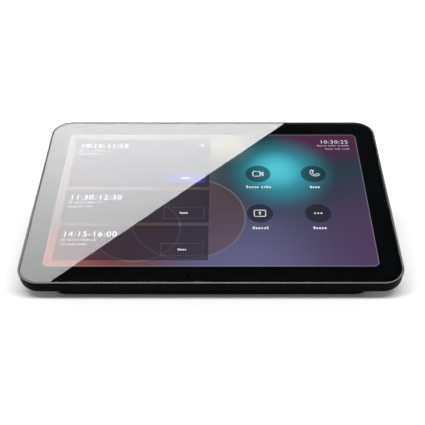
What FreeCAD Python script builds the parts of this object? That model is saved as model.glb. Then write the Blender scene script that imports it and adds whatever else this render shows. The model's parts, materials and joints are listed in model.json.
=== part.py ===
import FreeCAD, Part
import math
import os

import Sketcher

# A tabletop touch console: a tilted, glass-fronted display head carried on a hollow wedge base.
# +X is to the right of the person using it, +Y away from them and +Z up. The origin lies on the
# desk under the middle of the console's box. Lengths are in millimetres, angles in degrees.

Vector = FreeCAD.Vector

# Driving dimensions: name, value, meaning
DIMENSIONS = (
    ("screen_width", 217.0, "visible screen, left to right"),
    ("screen_depth", 135.6, "visible screen, front to back"),
    ("screen_corner", 4.0, "corner radius of the visible screen"),
    ("border_width", 13.5, "black border from the screen to the edge of the glass"),
    ("glass_corner", 13.0, "corner radius of the cover glass"),
    ("glass_thickness", 1.1, "cover glass"),
    ("glass_bevel", 0.25, "bevel round the top edge of the glass"),
    ("mask_thickness", 0.15, "black print under the glass"),
    ("mask_inset", 0.4, "print kept back from the edge of the glass"),
    ("gasket_thickness", 0.65, "foam tape between print and mid frame"),
    ("gasket_inset", 1.4, "gasket kept back from the edge of the glass"),
    ("gasket_gap", 0.5, "gasket kept clear of the display tray"),
    ("touch_thickness", 0.4, "touch sensor"),
    ("touch_margin", 2.0, "touch sensor beyond the visible screen"),
    ("panel_thickness", 1.3, "display panel"),
    ("panel_margin", 2.5, "display panel beyond the visible screen"),
    ("panel_gap", 0.1, "panel and backlight to the wall of their tray"),
    ("backlight_thickness", 2.2, "light guide and diffuser sheets"),
    ("tray_sheet", 0.4, "sheet steel of the display tray"),
    ("tray_gap", 0.2, "tray to the recess of the mid frame"),
    ("frame_floor", 1.2, "mid frame under the display tray"),
    ("frame_gap", 0.25, "mid frame to the wall of the back housing"),
    ("standoff_height", 2.2, "mid frame above the floor of the back housing"),
    ("standoff_radius", 2.6, "standoffs on the floor of the back housing"),
    ("housing_wall", 2.0, "side wall of the back housing"),
    ("housing_floor", 2.0, "floor of the back housing"),
    ("housing_inset", 0.3, "back housing inside the outline of the trim ring"),
    ("edge_radius", 5.0, "rounded lower edge of the back housing"),
    ("trim_width", 1.5, "silver trim ring, seen from above"),
    ("trim_height", 0.6, "silver trim ring, from its top edge down"),
    ("trim_rounding", 0.4, "rounded outer edge of the trim ring"),
    ("trim_gap", 0.1, "trim ring and back housing to the edge of the glass"),
    ("rebate_gap", 0.15, "black print above the ledge of the back housing"),
    ("tilt_angle", 25.0, "glass to the desk"),
    ("front_edge_height", 11.5, "front edge of the glass above the desk"),
    ("sensor_offset", 14.6, "sensor to the left of the middle"),
    ("sensor_inset", 5.3, "sensor from the front edge of the glass"),
    ("sensor_radius", 2.4, "presence sensor and its lens"),
    ("sensor_gap", 0.15, "round the sensor and its lens"),
    ("sensor_length", 3.6, "presence sensor below its lens"),
    ("flex_row", 28.0, "row of flex cables in front of the middle of the head"),
    ("flex_run", 12.0, "flex cables square to the head, from the display tray down"),
    ("flex_thickness", 0.3, "flex cables"),
    ("flex_bend", 0.7, "bend radius of the flex cables"),
    ("flex_window_width", 84.0, "opening for the flex cables, left to right"),
    ("flex_window_depth", 8.0, "opening for the flex cables, front to back"),
    ("flex_window_offset", 4.0, "opening for the flex cables, left of the middle"),
    ("display_flex_width", 24.0, "flex cable of the display"),
    ("display_flex_place", 16.0, "flex cable of the display, right of the middle"),
    ("touch_flex_width", 10.0, "flex cable of the touch sensor"),
    ("touch_flex_place", 32.0, "flex cable of the touch sensor, left of the middle"),
    ("sensor_flex_width", 4.0, "flex cable of the presence sensor"),
    ("sensor_flex_drop", 0.9, "flex cable of the presence sensor below the mid frame"),
    ("connector_margin", 1.5, "flex connector beyond each side of its cable"),
    ("connector_depth", 4.0, "flex connectors, front to back"),
    ("connector_height", 2.0, "flex connectors"),
    ("screw_radius", 1.25, "shanks of all screws"),
    ("screw_head_radius", 2.2, "heads of all screws"),
    ("screw_head_height", 1.2, "heads of all screws"),
    ("screw_socket_radius", 1.1, "hexagon sockets of all screws, to their corners"),
    ("screw_socket_depth", 0.7, "hexagon sockets of all screws"),
    ("screw_gap", 0.15, "round the shank and head of a screw"),
    ("thread_length", 3.0, "housing, plate and board screws in what they hold"),
    ("housing_screw_offset", 7.0, "housing screws outside the visible screen"),
    ("housing_screw_pitch", 60.0, "housing screws, front to back"),
    ("base_screw_offset", 70.0, "base screws from the middle, left and right"),
    ("base_screw_pitch", 30.0, "base screws from the middle of the head, front and back"),
    ("base_thread_length", 3.5, "base screws in the back housing"),
    ("base_width", 200.0, "base, left to right"),
    ("base_length", 111.0, "base, front to back"),
    ("base_setback", 7.0, "front of the base behind the front edge of the head"),
    ("base_bow", 9000.0, "radius of the slightly bowed front of the base"),
    ("base_corner", 8.0, "upright corners of the base"),
    ("base_wall", 3.0, "side and rear walls of the base"),
    ("base_lip", 10.0, "solid front lip of the base"),
    ("base_ceiling", 2.5, "base under the head"),
    ("boss_radius", 3.6, "screw columns in the base"),
    ("boss_side_inset", 8.0, "screw columns from the inner side walls"),
    ("boss_front_inset", 14.0, "front screw columns from the lip"),
    ("boss_rear_inset", 8.0, "rear screw columns from the inner rear wall"),
    ("plate_thickness", 2.0, "base plate"),
    ("plate_gap", 0.15, "base plate to the walls of the base"),
    ("foot_height", 1.0, "rubber feet below the base"),
    ("foot_recess", 0.6, "rubber feet let into the base plate"),
    ("foot_length", 150.0, "rubber feet, left to right"),
    ("foot_width", 10.0, "rubber feet, front to back"),
    ("foot_inset", 9.0, "middle of a foot from the front or rear of the base plate"),
    ("foot_gap", 0.1, "round a foot in its recess"),
    ("ballast_width", 110.0, "steel ballast plate, left to right"),
    ("ballast_depth", 28.0, "steel ballast plate, front to back"),
    ("ballast_thickness", 3.5, "steel ballast plate"),
    ("post_height", 5.5, "board posts above the base plate"),
    ("post_radius", 3.0, "board posts"),
    ("post_inset", 5.0, "board posts from the edges of the board"),
    ("board_width", 150.0, "main board, left to right"),
    ("board_depth", 48.0, "main board, front to back"),
    ("board_thickness", 1.6, "main board"),
    ("board_gap", 0.3, "main board to the port bay"),
    ("shield_side", 26.0, "processor shield, each way"),
    ("shield_height", 2.4, "processor shield"),
    ("shield_offset", 54.0, "processor shield, left of the middle"),
    ("shield_from_rear", 23.7, "processor shield from the rear edge of the board"),
    ("pad_thickness", 0.8, "thermal pad"),
    ("spreader_overhang", 2.0, "heat spreader beyond the shield"),
    ("spreader_thickness", 1.2, "heat spreader"),
    ("fin_height", 2.4, "fins of the heat spreader"),
    ("fin_thickness", 1.2, "fins of the heat spreader"),
    ("fin_pitch", 4.0, "fins of the heat spreader"),
    ("transformer_width", 14.0, "power transformer, left to right"),
    ("transformer_depth", 12.0, "power transformer, front to back"),
    ("transformer_height", 9.0, "power transformer"),
    ("transformer_offset", 44.0, "power transformer, right of the middle"),
    ("power_from_rear", 21.0, "power parts from the rear edge of the board"),
    ("capacitor_radius", 3.6, "power capacitors"),
    ("capacitor_height", 7.5, "power capacitors"),
    ("capacitor_offset", 61.0, "power capacitors, right of the middle"),
    ("capacitor_pitch", 9.0, "power capacitors, front to back"),
    ("bay_width", 88.0, "inside of the port bay, left to right"),
    ("bay_height", 27.0, "inside of the port bay, floor to top"),
    ("bay_depth", 32.0, "port bay from the rear face of the base inwards"),
    ("bay_wall", 1.6, "walls of the port bay"),
    ("bay_gap", 0.2, "port bay in the opening of the base"),
    ("port_gap", 0.2, "round a port in the wall of the bay"),
    ("port_proud", 0.8, "ports proud of the wall of the bay"),
    ("jack_width", 16.0, "network jack, left to right"),
    ("jack_height", 13.4, "network jack"),
    ("jack_length", 21.3, "network jack, front to back"),
    ("jack_offset", 18.0, "network jack, left of the middle"),
    ("mouth_width", 11.9, "mouth of the network jack, left to right"),
    ("mouth_height", 7.2, "mouth of the network jack"),
    ("mouth_depth", 15.0, "mouth of the network jack, inwards"),
    ("mouth_rise", 2.2, "mouth of the network jack above its foot"),
    ("latch_width", 4.4, "latch slot of the network jack, left to right"),
    ("latch_height", 2.0, "latch slot above the mouth"),
    ("usb_width", 9.0, "USB-C socket, left to right"),
    ("usb_height", 3.3, "USB-C socket"),
    ("usb_length", 7.5, "USB-C socket, front to back"),
    ("usb_offset", 6.0, "USB-C socket, right of the middle"),
    ("usb_corner", 1.3, "rounded corners of the USB-C socket"),
    ("usb_sheet", 0.3, "shell of the USB-C socket"),
    ("usb_back", 0.8, "rear wall of the USB-C socket"),
    ("tongue_width", 6.7, "tongue of the USB-C socket, left to right"),
    ("tongue_thickness", 0.7, "tongue of the USB-C socket"),
    ("tongue_short", 0.6, "tongue short of the mouth of the USB-C socket"),
    ("button_radius", 2.0, "reset button"),
    ("button_offset", 24.0, "reset button, right of the middle"),
    ("button_rise", 3.3, "middle of the reset button above the board"),
    ("button_proud", 1.2, "reset button proud of the wall of the bay"),
    ("button_gap", 0.12, "round the reset button, and before its flange"),
    ("button_travel", 0.5, "reset button"),
    ("flange_radius", 2.8, "flange that keeps the reset button in the wall"),
    ("flange_thickness", 0.8, "flange of the reset button"),
    ("plunger_radius", 1.1, "plunger of the reset switch"),
    ("plunger_gap", 0.06, "round the plunger of the reset switch"),
    ("plunger_insert", 0.7, "plunger of the reset switch inside the switch at rest"),
    ("switch_width", 6.0, "reset switch, left to right"),
    ("switch_height", 6.2, "reset switch"),
    ("switch_depth", 4.0, "reset switch, front to back"),
    ("switch_clearance", 0.3, "flange to switch when the reset button is pressed"),
    ("lock_offset", 66.0, "lock slot, left of the middle"),
    ("lock_height", 22.0, "middle of the lock slot above the desk"),
    ("lock_slot_width", 7.0, "slot in the lock plate, left to right"),
    ("lock_slot_height", 3.0, "slot in the lock plate"),
    ("lock_margin", 1.0, "opening in the base round the lock slot"),
    ("lock_plate_width", 20.0, "lock plate, left to right"),
    ("lock_plate_height", 12.0, "lock plate"),
    ("lock_plate_thickness", 1.2, "lock plate"),
    ("cover_thickness", 2.0, "cable cover"),
    ("cover_gap", 0.4, "cable cover to the walls of the bay"),
    ("barrel_radius", 2.2, "hinge barrel of the cable cover"),
    ("rod_radius", 1.0, "hinge rod"),
    ("rod_gap", 0.05, "hinge rod in the barrel of the cover"),
    ("rod_seat_gap", 0.02, "hinge rod in the walls of the bay"),
    ("notch_width", 9.0, "cable notch of the cover, left to right"),
    ("notch_height", 6.5, "cable notch of the cover"),
    ("notch_corner", 3.0, "rounded corners of the cable notch"),
)

doc = FreeCAD.newDocument("touch_console")
sheet = doc.addObject("Spreadsheet::Sheet", "dims")
for row, (alias, value, meaning) in enumerate(DIMENSIONS, start=1):
    sheet.set(f"A{row}", alias)
    sheet.set(f"B{row}", str(value))
    sheet.setAlias(f"B{row}", alias)
    sheet.set(f"C{row}", meaning)
doc.recompute()

# Sizes worked out from the driving dimensions, as expressions
SIN = "sin(dims.tilt_angle * 1 deg)"
COS = "cos(dims.tilt_angle * 1 deg)"
TAN = "tan(dims.tilt_angle * 1 deg)"

GLASS_WIDTH = "(dims.screen_width + 2 * dims.border_width)"
GLASS_DEPTH = "(dims.screen_depth + 2 * dims.border_width)"
TRIM_EDGE = "(dims.trim_gap + dims.trim_width)"
HEAD_WIDTH = f"({GLASS_WIDTH} + 2 * {TRIM_EDGE})"
HEAD_DEPTH = f"({GLASS_DEPTH} + 2 * {TRIM_EDGE})"
HEAD_CORNER = f"(dims.glass_corner + {TRIM_EDGE})"
HOUSING_WIDTH = f"({HEAD_WIDTH} - 2 * dims.housing_inset)"
HOUSING_DEPTH = f"({HEAD_DEPTH} - 2 * dims.housing_inset)"
HOUSING_CORNER = f"({HEAD_CORNER} - dims.housing_inset)"
CAVITY_WIDTH = f"({HOUSING_WIDTH} - 2 * dims.housing_wall)"
CAVITY_DEPTH = f"({HOUSING_DEPTH} - 2 * dims.housing_wall)"
CAVITY_CORNER = f"({HOUSING_CORNER} - dims.housing_wall)"
PANEL_WIDTH = "(dims.screen_width + 2 * dims.panel_margin)"
PANEL_DEPTH = "(dims.screen_depth + 2 * dims.panel_margin)"
POCKET_EDGE = "(dims.panel_margin + dims.panel_gap)"
POCKET_WIDTH = f"(dims.screen_width + 2 * {POCKET_EDGE})"
POCKET_DEPTH = f"(dims.screen_depth + 2 * {POCKET_EDGE})"
TRAY_WIDTH = f"({POCKET_WIDTH} + 2 * dims.tray_sheet)"
TRAY_DEPTH = f"({POCKET_DEPTH} + 2 * dims.tray_sheet)"

# Levels in the head, measured down from the top of the glass
STACK_TOP = "(dims.glass_thickness + dims.mask_thickness)"
FRAME_TOP = f"({STACK_TOP} + dims.gasket_thickness)"
PANEL_TOP = f"({STACK_TOP} + dims.touch_thickness)"
BACKLIGHT_TOP = f"({PANEL_TOP} + dims.panel_thickness)"
TRAY_FLOOR = f"({BACKLIGHT_TOP} + dims.backlight_thickness)"
FRAME_SEAT = f"({TRAY_FLOOR} + dims.tray_sheet)"
FRAME_BOTTOM = f"({FRAME_SEAT} + dims.frame_floor)"
HOUSING_SEAT = f"({FRAME_BOTTOM} + dims.standoff_height)"
HEAD_THICKNESS = f"({HOUSING_SEAT} + dims.housing_floor)"

# Where the head stands: its outermost front and rear edges lie equally far from the origin
FRONT_ROUND = f"(dims.trim_rounding * ({COS} + {SIN} - 1))"
REAR_ROUND = f"(dims.edge_radius * (1 - {COS} - {SIN}) + {HEAD_THICKNESS} * {SIN})"
HEAD_Y = f"(-({FRONT_ROUND} + {REAR_ROUND} - dims.housing_inset * {COS}) / 2)"
HEAD_Z = f"(dims.front_edge_height + {HEAD_DEPTH} / 2 * {SIN})"

# Levels and places in the base, measured from the desk and the origin
BASE_FRONT = f"({HEAD_Y} - {HEAD_DEPTH} / 2 * {COS} + dims.base_setback)"
BASE_REAR = f"({BASE_FRONT} + dims.base_length)"
ROOM_WIDTH = "(dims.base_width - 2 * dims.base_wall)"
ROOM_FRONT = f"({BASE_FRONT} + dims.base_lip)"
ROOM_REAR = f"({BASE_REAR} - dims.base_wall)"
ROOM_CORNER = "(dims.base_corner - dims.base_wall)"
PLATE_FRONT = f"({ROOM_FRONT} + dims.plate_gap)"
PLATE_REAR = f"({ROOM_REAR} - dims.plate_gap)"
PLATE_TOP = "(dims.foot_height + dims.plate_thickness)"
BOSS_X = f"({ROOM_WIDTH} / 2 - dims.boss_side_inset)"
BOSS_FRONT = f"({ROOM_FRONT} + dims.boss_front_inset)"
BOSS_REAR = f"({ROOM_REAR} - dims.boss_rear_inset)"
BAY_FRONT = f"({BASE_REAR} - dims.bay_depth)"
BAY_WALL_REAR = f"({BAY_FRONT} + dims.bay_wall)"
BAY_FLOOR = f"({PLATE_TOP} + dims.bay_wall)"
BAY_TOP = f"({BAY_FLOOR} + dims.bay_height)"
BAY_OUTER_WIDTH = "(dims.bay_width + 2 * dims.bay_wall)"
BOARD_REAR = f"({BAY_FRONT} - dims.board_gap)"
BOARD_MIDDLE = f"({BOARD_REAR} - dims.board_depth / 2)"
BOARD_BOTTOM = f"({PLATE_TOP} + dims.post_height)"
BOARD_TOP = f"({BOARD_BOTTOM} + dims.board_thickness)"
POST_X = "(dims.board_width / 2 - dims.post_inset)"
POST_SPAN = "(dims.board_depth / 2 - dims.post_inset)"
SHIELD_Y = f"({BOARD_REAR} - dims.shield_from_rear)"
SHIELD_TOP = f"({BOARD_TOP} + dims.shield_height)"
SPREADER_SIDE = "(dims.shield_side + 2 * dims.spreader_overhang)"
POWER_Y = f"({BOARD_REAR} - dims.power_from_rear)"
PORT_FACE = f"({BAY_WALL_REAR} + dims.port_proud)"
BUTTON_Z = f"({BOARD_TOP} + dims.button_rise)"
FLANGE_REAR = f"({BAY_FRONT} - dims.button_gap)"
FLANGE_FRONT = f"({FLANGE_REAR} - dims.flange_thickness)"
SWITCH_FACE = f"({FLANGE_FRONT} - dims.button_travel - dims.switch_clearance)"
HINGE_Y = f"({BASE_REAR} - dims.barrel_radius)"
HINGE_Z = f"({BAY_TOP} - dims.cover_gap - dims.barrel_radius)"
COVER_WIDTH = "(dims.bay_width - 2 * dims.cover_gap)"
COVER_BOTTOM = f"({BAY_FLOOR} + dims.cover_gap)"


def number(expression):
    """The value of an expression, as a plain number."""
    return float(sheet.evalExpression(str(expression)))


def minus(expression):
    return f"-({expression})"


def head_y(along, depth):
    """Y of a point of the head, given along the glass from its middle and in depth below its top."""
    return f"({HEAD_Y} + ({along}) * {COS} + ({depth}) * {SIN})"


def head_z(along, depth):
    return f"({HEAD_Z} + ({along}) * {SIN} - ({depth}) * {COS})"


def underside(y):
    """Height of the flat underside of the head above the desk, at a given Y."""
    reach = f"(({y}) - {HEAD_Y} - {HEAD_THICKNESS} * {SIN})"
    return f"({HEAD_Z} - {HEAD_THICKNESS} * {COS} + {reach} * {TAN})"


# Helpers for sketches and features


def new_body(label):
    body = doc.addObject("PartDesign::Body", label)
    body.Label = label
    return body


def place_in_head(item):
    """Tilts an object with the head. Its own axes are then X, along the glass, and out of the glass."""
    item.Placement = FreeCAD.Placement(Vector(0, 0, 0), FreeCAD.Rotation(Vector(1, 0, 0), 1))
    item.setExpression("Placement.Rotation.Angle", "dims.tilt_angle * 1 deg")
    item.setExpression("Placement.Base.y", HEAD_Y)
    item.setExpression("Placement.Base.z", HEAD_Z)


def sketch_on(body, role, x="0", y="0", level="0"):
    """A sketch on one of the body's own planes, shifted in that plane and along its normal."""
    sketch = body.newObject("Sketcher::SketchObject", body.Name + "_sketch")
    plane = [item for item in body.Origin.OriginFeatures if item.Role == role][0]
    sketch.AttachmentSupport = [(plane, "")]
    sketch.MapMode = "FlatFace"
    for axis, expression in zip("xyz", (x, y, level)):
        sketch.setExpression(f"AttachmentOffset.Base.{axis}", expression)
    return sketch


def constrain(sketch, constraints, sizes):
    """Adds fixed constraints, then those whose values are bound to expressions."""
    sketch.addConstraint(constraints)
    for kind, places, expression in sizes:
        index = sketch.addConstraint(Sketcher.Constraint(kind, *places, number(expression)))
        sketch.setExpression(f"Constraints[{index}]", expression)


def draw_rectangle(sketch, width, depth):
    """A rectangle about the middle of the sketch."""
    x, y = number(width) / 2, number(depth) / 2
    corners = [Vector(-x, -y, 0), Vector(x, -y, 0), Vector(x, y, 0), Vector(-x, y, 0)]
    sketch.addGeometry([Part.LineSegment(corners[i], corners[(i + 1) % 4]) for i in range(4)])
    fixed = [Sketcher.Constraint("Coincident", i, 2, (i + 1) % 4, 1) for i in range(4)]
    fixed += [Sketcher.Constraint("Horizontal", i) for i in (0, 2)]
    fixed += [Sketcher.Constraint("Vertical", i) for i in (1, 3)]
    fixed.append(Sketcher.Constraint("Symmetric", 0, 1, 1, 2, -1, 1))
    constrain(sketch, fixed, [("DistanceX", (0, 1, 0, 2), width), ("DistanceY", (1, 1, 1, 2), depth)])


def draw_rounded(sketch, width, depth, corner):
    """A rectangle with rounded corners about the middle of the sketch."""
    x, y, radius = number(width) / 2, number(depth) / 2, number(corner)
    u, v = x - radius, y - radius
    lines = [((-u, -y), (u, -y)), ((x, -v), (x, v)), ((u, y), (-u, y)), ((-x, v), (-x, -v))]
    sketch.addGeometry([Part.LineSegment(Vector(*a, 0), Vector(*b, 0)) for a, b in lines])
    for turn, (cx, cy) in enumerate([(u, -v), (u, v), (-u, v), (-u, -v)]):
        circle = Part.Circle(Vector(cx, cy, 0), Vector(0, 0, 1), radius)
        start = math.radians(90 * turn - 90)
        sketch.addGeometry(Part.ArcOfCircle(circle, start, start + math.pi / 2))
    fixed = [Sketcher.Constraint("Tangent", i, 2, 4 + i, 1) for i in range(4)]
    fixed += [Sketcher.Constraint("Tangent", 4 + i, 2, (i + 1) % 4, 1) for i in range(4)]
    fixed += [Sketcher.Constraint("Horizontal", i) for i in (0, 2)]
    fixed += [Sketcher.Constraint("Vertical", i) for i in (1, 3)]
    fixed += [Sketcher.Constraint("Equal", 4, i) for i in (5, 6, 7)]
    fixed.append(Sketcher.Constraint("Symmetric", 7, 3, 5, 3, -1, 1))
    spans = [("DistanceX", (3, 1, 1, 1), width), ("DistanceY", (0, 1, 2, 1), depth)]
    constrain(sketch, fixed, spans + [("Radius", (4,), corner)])


def draw_plan(sketch, width, depth, corner):
    """A rectangle about the middle of the sketch, with square corners where corner is None."""
    if corner is None:
        draw_rectangle(sketch, width, depth)
    else:
        draw_rounded(sketch, width, depth, corner)


def draw_circles(sketch, points, radius):
    """Equal circles at the given points."""
    for x, y in points:
        centre = Vector(number(x), number(y), 0)
        index = sketch.addGeometry(Part.Circle(centre, Vector(0, 0, 1), number(radius)))
        places = [("DistanceX", (-1, 1, index, 3), x), ("DistanceY", (-1, 1, index, 3), y)]
        constrain(sketch, [], places + [("Radius", (index,), radius)])


def draw_polygon(sketch, points):
    """A closed polygon through the given points."""
    corners = [Vector(number(x), number(y), 0) for x, y in points]
    count = len(points)
    first = sketch.GeometryCount
    sketch.addGeometry([Part.LineSegment(corners[i], corners[(i + 1) % count]) for i in range(count)])
    fixed = []
    sizes = []
    for i, (x, y) in enumerate(points):
        line = first + i
        following = first + (i + 1) % count
        fixed.append(Sketcher.Constraint("Coincident", line, 2, following, 1))
        sizes += [("DistanceX", (-1, 1, line, 1), x), ("DistanceY", (-1, 1, line, 1), y)]
    constrain(sketch, fixed, sizes)


def pad(body, sketch, length, middle=False, back=False):
    feature = body.newObject("PartDesign::Pad", body.Name + "_pad")
    feature.Profile = sketch
    feature.setExpression("Length", length)
    feature.Midplane = middle
    feature.Reversed = back
    doc.recompute()
    return feature


def pocket(body, sketch, length, middle=False, back=False):
    """A cut against the normal of its sketch, or along it where back is set. It has to remove something."""
    before = body.Shape.Volume
    feature = body.newObject("PartDesign::Pocket", body.Name + "_pocket")
    feature.Profile = sketch
    feature.setExpression("Length", length)
    feature.Midplane = middle
    feature.Reversed = back
    doc.recompute()
    if not body.Shape.Volume < before:
        raise RuntimeError(f"a cut in {body.Label} takes nothing away")
    return feature


def soften(body, kind, chosen, size):
    """A fillet or chamfer on the edges of the body for which chosen(edge) holds."""
    base = body.Tip
    names = [f"Edge{i}" for i, edge in enumerate(base.Shape.Edges, start=1) if chosen(edge)]
    feature = body.newObject("PartDesign::" + kind, body.Name + "_" + kind.lower())
    feature.Base = (base, names)
    feature.setExpression("Radius" if kind == "Fillet" else "Size", size)
    doc.recompute()
    return feature


def at_level(level):
    """Picks the edges that lie wholly at one height in the body's own axes."""
    height = number(level)

    def chosen(edge):
        box = edge.BoundBox
        return abs(box.ZMin - height) < 1e-4 and abs(box.ZMax - height) < 1e-4

    return chosen


def slab(label, width, depth, corner, low, height, x="0", y="0"):
    """A flat plate with rounded corners, or square ones where corner is None."""
    body = new_body(label)
    add_slab(body, width, depth, corner, low, height, x, y)
    return body


def add_slab(body, width, depth, corner, low, height, x="0", y="0"):
    sketch = sketch_on(body, "XY_Plane", x, y, low)
    draw_plan(sketch, width, depth, corner)
    pad(body, sketch, height)


def cut_slab(body, width, depth, corner, top, height, x="0", y="0"):
    """A recess or window of that plan, from its top level down."""
    sketch = sketch_on(body, "XY_Plane", x, y, top)
    draw_plan(sketch, width, depth, corner)
    pocket(body, sketch, height)


def add_pins(body, points, radius, low, height):
    sketch = sketch_on(body, "XY_Plane", level=low)
    draw_circles(sketch, points, radius)
    pad(body, sketch, height)


def cut_holes(body, points, radius, top, height):
    sketch = sketch_on(body, "XY_Plane", level=top)
    draw_circles(sketch, points, radius)
    pocket(body, sketch, height)


def upright_block(label, width, height, front, length, x, low):
    """A square block given by its rear view: it runs from its front Y towards +Y."""
    body = new_body(label)
    add_upright(body, width, height, None, front, length, x, low)
    return body


def upright_sketch(body, width, height, corner, y, x, low):
    sketch = sketch_on(body, "XZ_Plane", x, f"({low}) + ({height}) / 2", minus(y))
    draw_plan(sketch, width, height, corner)
    return sketch


def add_upright(body, width, height, corner, front, length, x, low):
    pad(body, upright_sketch(body, width, height, corner, front, x, low), length, back=True)


def cut_upright(body, width, height, corner, front, length, x, low):
    pocket(body, upright_sketch(body, width, height, corner, front, x, low), length)


def upright_pin_sketch(body, radius, y, x, z):
    sketch = sketch_on(body, "XZ_Plane", x, z, minus(y))
    draw_circles(sketch, [("0", "0")], radius)
    return sketch


def add_upright_pin(body, radius, front, length, x, z):
    pad(body, upright_pin_sketch(body, radius, front, x, z), length, back=True)


def cut_upright_pin(body, radius, front, length, x, z):
    pocket(body, upright_pin_sketch(body, radius, front, x, z), length)


def side_circle(body, radius, y, z):
    """A circle seen from the side, about a point in Y and Z."""
    sketch = sketch_on(body, "YZ_Plane", y, z)
    draw_circles(sketch, [("0", "0")], radius)
    return sketch


def subtract(label, base, *tools):
    """One object less others, in turn."""
    for step, tool in enumerate(tools, start=1):
        result = doc.addObject("Part::Cut", f"{label}_cut_{step}")
        result.Base = base
        result.Tool = tool
        base = result
    base.Label = label
    doc.recompute()
    return base


def four(x, front, rear):
    """The four points of a pattern that is even about X."""
    return [(minus(x), front), (x, front), (minus(x), rear), (x, rear)]


def draw_hexagons(sketch, points, radius):
    for x, y in points:
        corners = []
        for angle in range(0, 360, 60):
            across = f"({x}) + ({radius}) * cos({angle} deg)"
            along = f"({y}) + ({radius}) * sin({angle} deg)"
            corners.append((across, along))
        draw_polygon(sketch, corners)


def screw_set(label, points, seat, length, heads_up=False):
    """A group of screws, each with its head on one side of the seat and its shank through the other."""
    body = new_body(label)
    body.AllowCompound = True
    head_low = seat if heads_up else f"(({seat}) - dims.screw_head_height)"
    shank_low = f"(({seat}) - ({length}))" if heads_up else seat
    add_pins(body, points, "dims.screw_head_radius", head_low, "dims.screw_head_height")
    add_pins(body, points, "dims.screw_radius", shank_low, length)
    face = f"({head_low} + dims.screw_head_height)" if heads_up else head_low
    sketch = sketch_on(body, "XY_Plane", level=face)
    draw_hexagons(sketch, points, "dims.screw_socket_radius")
    pocket(body, sketch, "dims.screw_socket_depth", back=not heads_up)
    return body


# The display head

SENSOR_POINT = ("-dims.sensor_offset", f"dims.sensor_inset - {GLASS_DEPTH} / 2")
HOUSING_SCREW_X = "(dims.screen_width / 2 + dims.housing_screw_offset)"
HOUSING_SCREWS = [
    (side, row)
    for side in (minus(HOUSING_SCREW_X), HOUSING_SCREW_X)
    for row in ("-dims.housing_screw_pitch", "0", "dims.housing_screw_pitch")
]
BASE_SCREWS = four("dims.base_screw_offset", "-dims.base_screw_pitch", "dims.base_screw_pitch")


def make_cover_glass():
    size = (GLASS_WIDTH, GLASS_DEPTH, "dims.glass_corner")
    body = slab("cover_glass", *size, "-dims.glass_thickness", "dims.glass_thickness")
    soften(body, "Chamfer", at_level("0"), "dims.glass_bevel")
    return body


def make_trim_ring():
    body = slab("trim_ring", HEAD_WIDTH, HEAD_DEPTH, HEAD_CORNER, "-dims.trim_height", "dims.trim_height")
    soften(body, "Fillet", at_level("0"), "dims.trim_rounding")
    cut_glass_room(body, "0", "dims.trim_height")
    return body


def cut_glass_room(body, top, height):
    """Makes room for the glass and the gap round it."""
    width, depth = (f"({size} + 2 * dims.trim_gap)" for size in (GLASS_WIDTH, GLASS_DEPTH))
    cut_slab(body, width, depth, "(dims.glass_corner + dims.trim_gap)", top, height)


def make_border_mask():
    width, depth = (f"({size} - 2 * dims.mask_inset)" for size in (GLASS_WIDTH, GLASS_DEPTH))
    corner = "(dims.glass_corner - dims.mask_inset)"
    body = slab("border_mask", width, depth, corner, minus(STACK_TOP), "dims.mask_thickness")
    top = "-dims.glass_thickness"
    screen = ("dims.screen_width", "dims.screen_depth", "dims.screen_corner")
    cut_slab(body, *screen, top, "dims.mask_thickness")
    cut_holes(body, [SENSOR_POINT], "(dims.sensor_radius + dims.sensor_gap)", top, "dims.mask_thickness")
    return body


def make_display_gasket():
    width, depth = (f"({size} - 2 * dims.gasket_inset)" for size in (GLASS_WIDTH, GLASS_DEPTH))
    corner = "(dims.glass_corner - dims.gasket_inset)"
    body = slab("display_gasket", width, depth, corner, minus(FRAME_TOP), "dims.gasket_thickness")
    inner = [f"({size} + 2 * dims.gasket_gap)" for size in (TRAY_WIDTH, TRAY_DEPTH)]
    cut_slab(body, *inner, None, minus(STACK_TOP), "dims.gasket_thickness")
    hole = "(dims.sensor_radius + dims.sensor_gap)"
    cut_holes(body, [SENSOR_POINT], hole, minus(STACK_TOP), "dims.gasket_thickness")
    return body


def make_touch_sensor():
    width, depth = (f"(dims.screen_{side} + 2 * dims.touch_margin)" for side in ("width", "depth"))
    return slab("touch_sensor", width, depth, None, minus(PANEL_TOP), "dims.touch_thickness")


def make_lcd_panel():
    return slab("lcd_panel", PANEL_WIDTH, PANEL_DEPTH, None, minus(BACKLIGHT_TOP), "dims.panel_thickness")


def make_backlight_stack():
    size = (PANEL_WIDTH, PANEL_DEPTH, None)
    return slab("backlight_stack", *size, minus(TRAY_FLOOR), "dims.backlight_thickness")


def make_lcd_tray():
    wall = "(dims.panel_thickness + dims.backlight_thickness)"
    body = slab("lcd_tray", TRAY_WIDTH, TRAY_DEPTH, None, minus(FRAME_SEAT), f"({wall} + dims.tray_sheet)")
    cut_slab(body, POCKET_WIDTH, POCKET_DEPTH, None, minus(PANEL_TOP), wall)
    return body


def make_mid_frame():
    width, depth = (f"({size} - 2 * dims.frame_gap)" for size in (CAVITY_WIDTH, CAVITY_DEPTH))
    height = f"({FRAME_BOTTOM} - {FRAME_TOP})"
    corner = f"({CAVITY_CORNER} - dims.frame_gap)"
    body = slab("mid_frame", width, depth, corner, minus(FRAME_BOTTOM), height)
    recess = [f"({size} + 2 * dims.tray_gap)" for size in (TRAY_WIDTH, TRAY_DEPTH)]
    cut_slab(body, *recess, None, minus(FRAME_TOP), f"({FRAME_SEAT} - {FRAME_TOP})")
    cut_flex_window(body, FRAME_SEAT, "dims.frame_floor")
    cut_holes(body, [SENSOR_POINT], "(dims.sensor_radius + dims.sensor_gap)", minus(FRAME_TOP), height)
    thread_top = f"(dims.thread_length - {FRAME_BOTTOM})"
    cut_holes(body, HOUSING_SCREWS, "dims.screw_radius", thread_top, "dims.thread_length")
    return body


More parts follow.
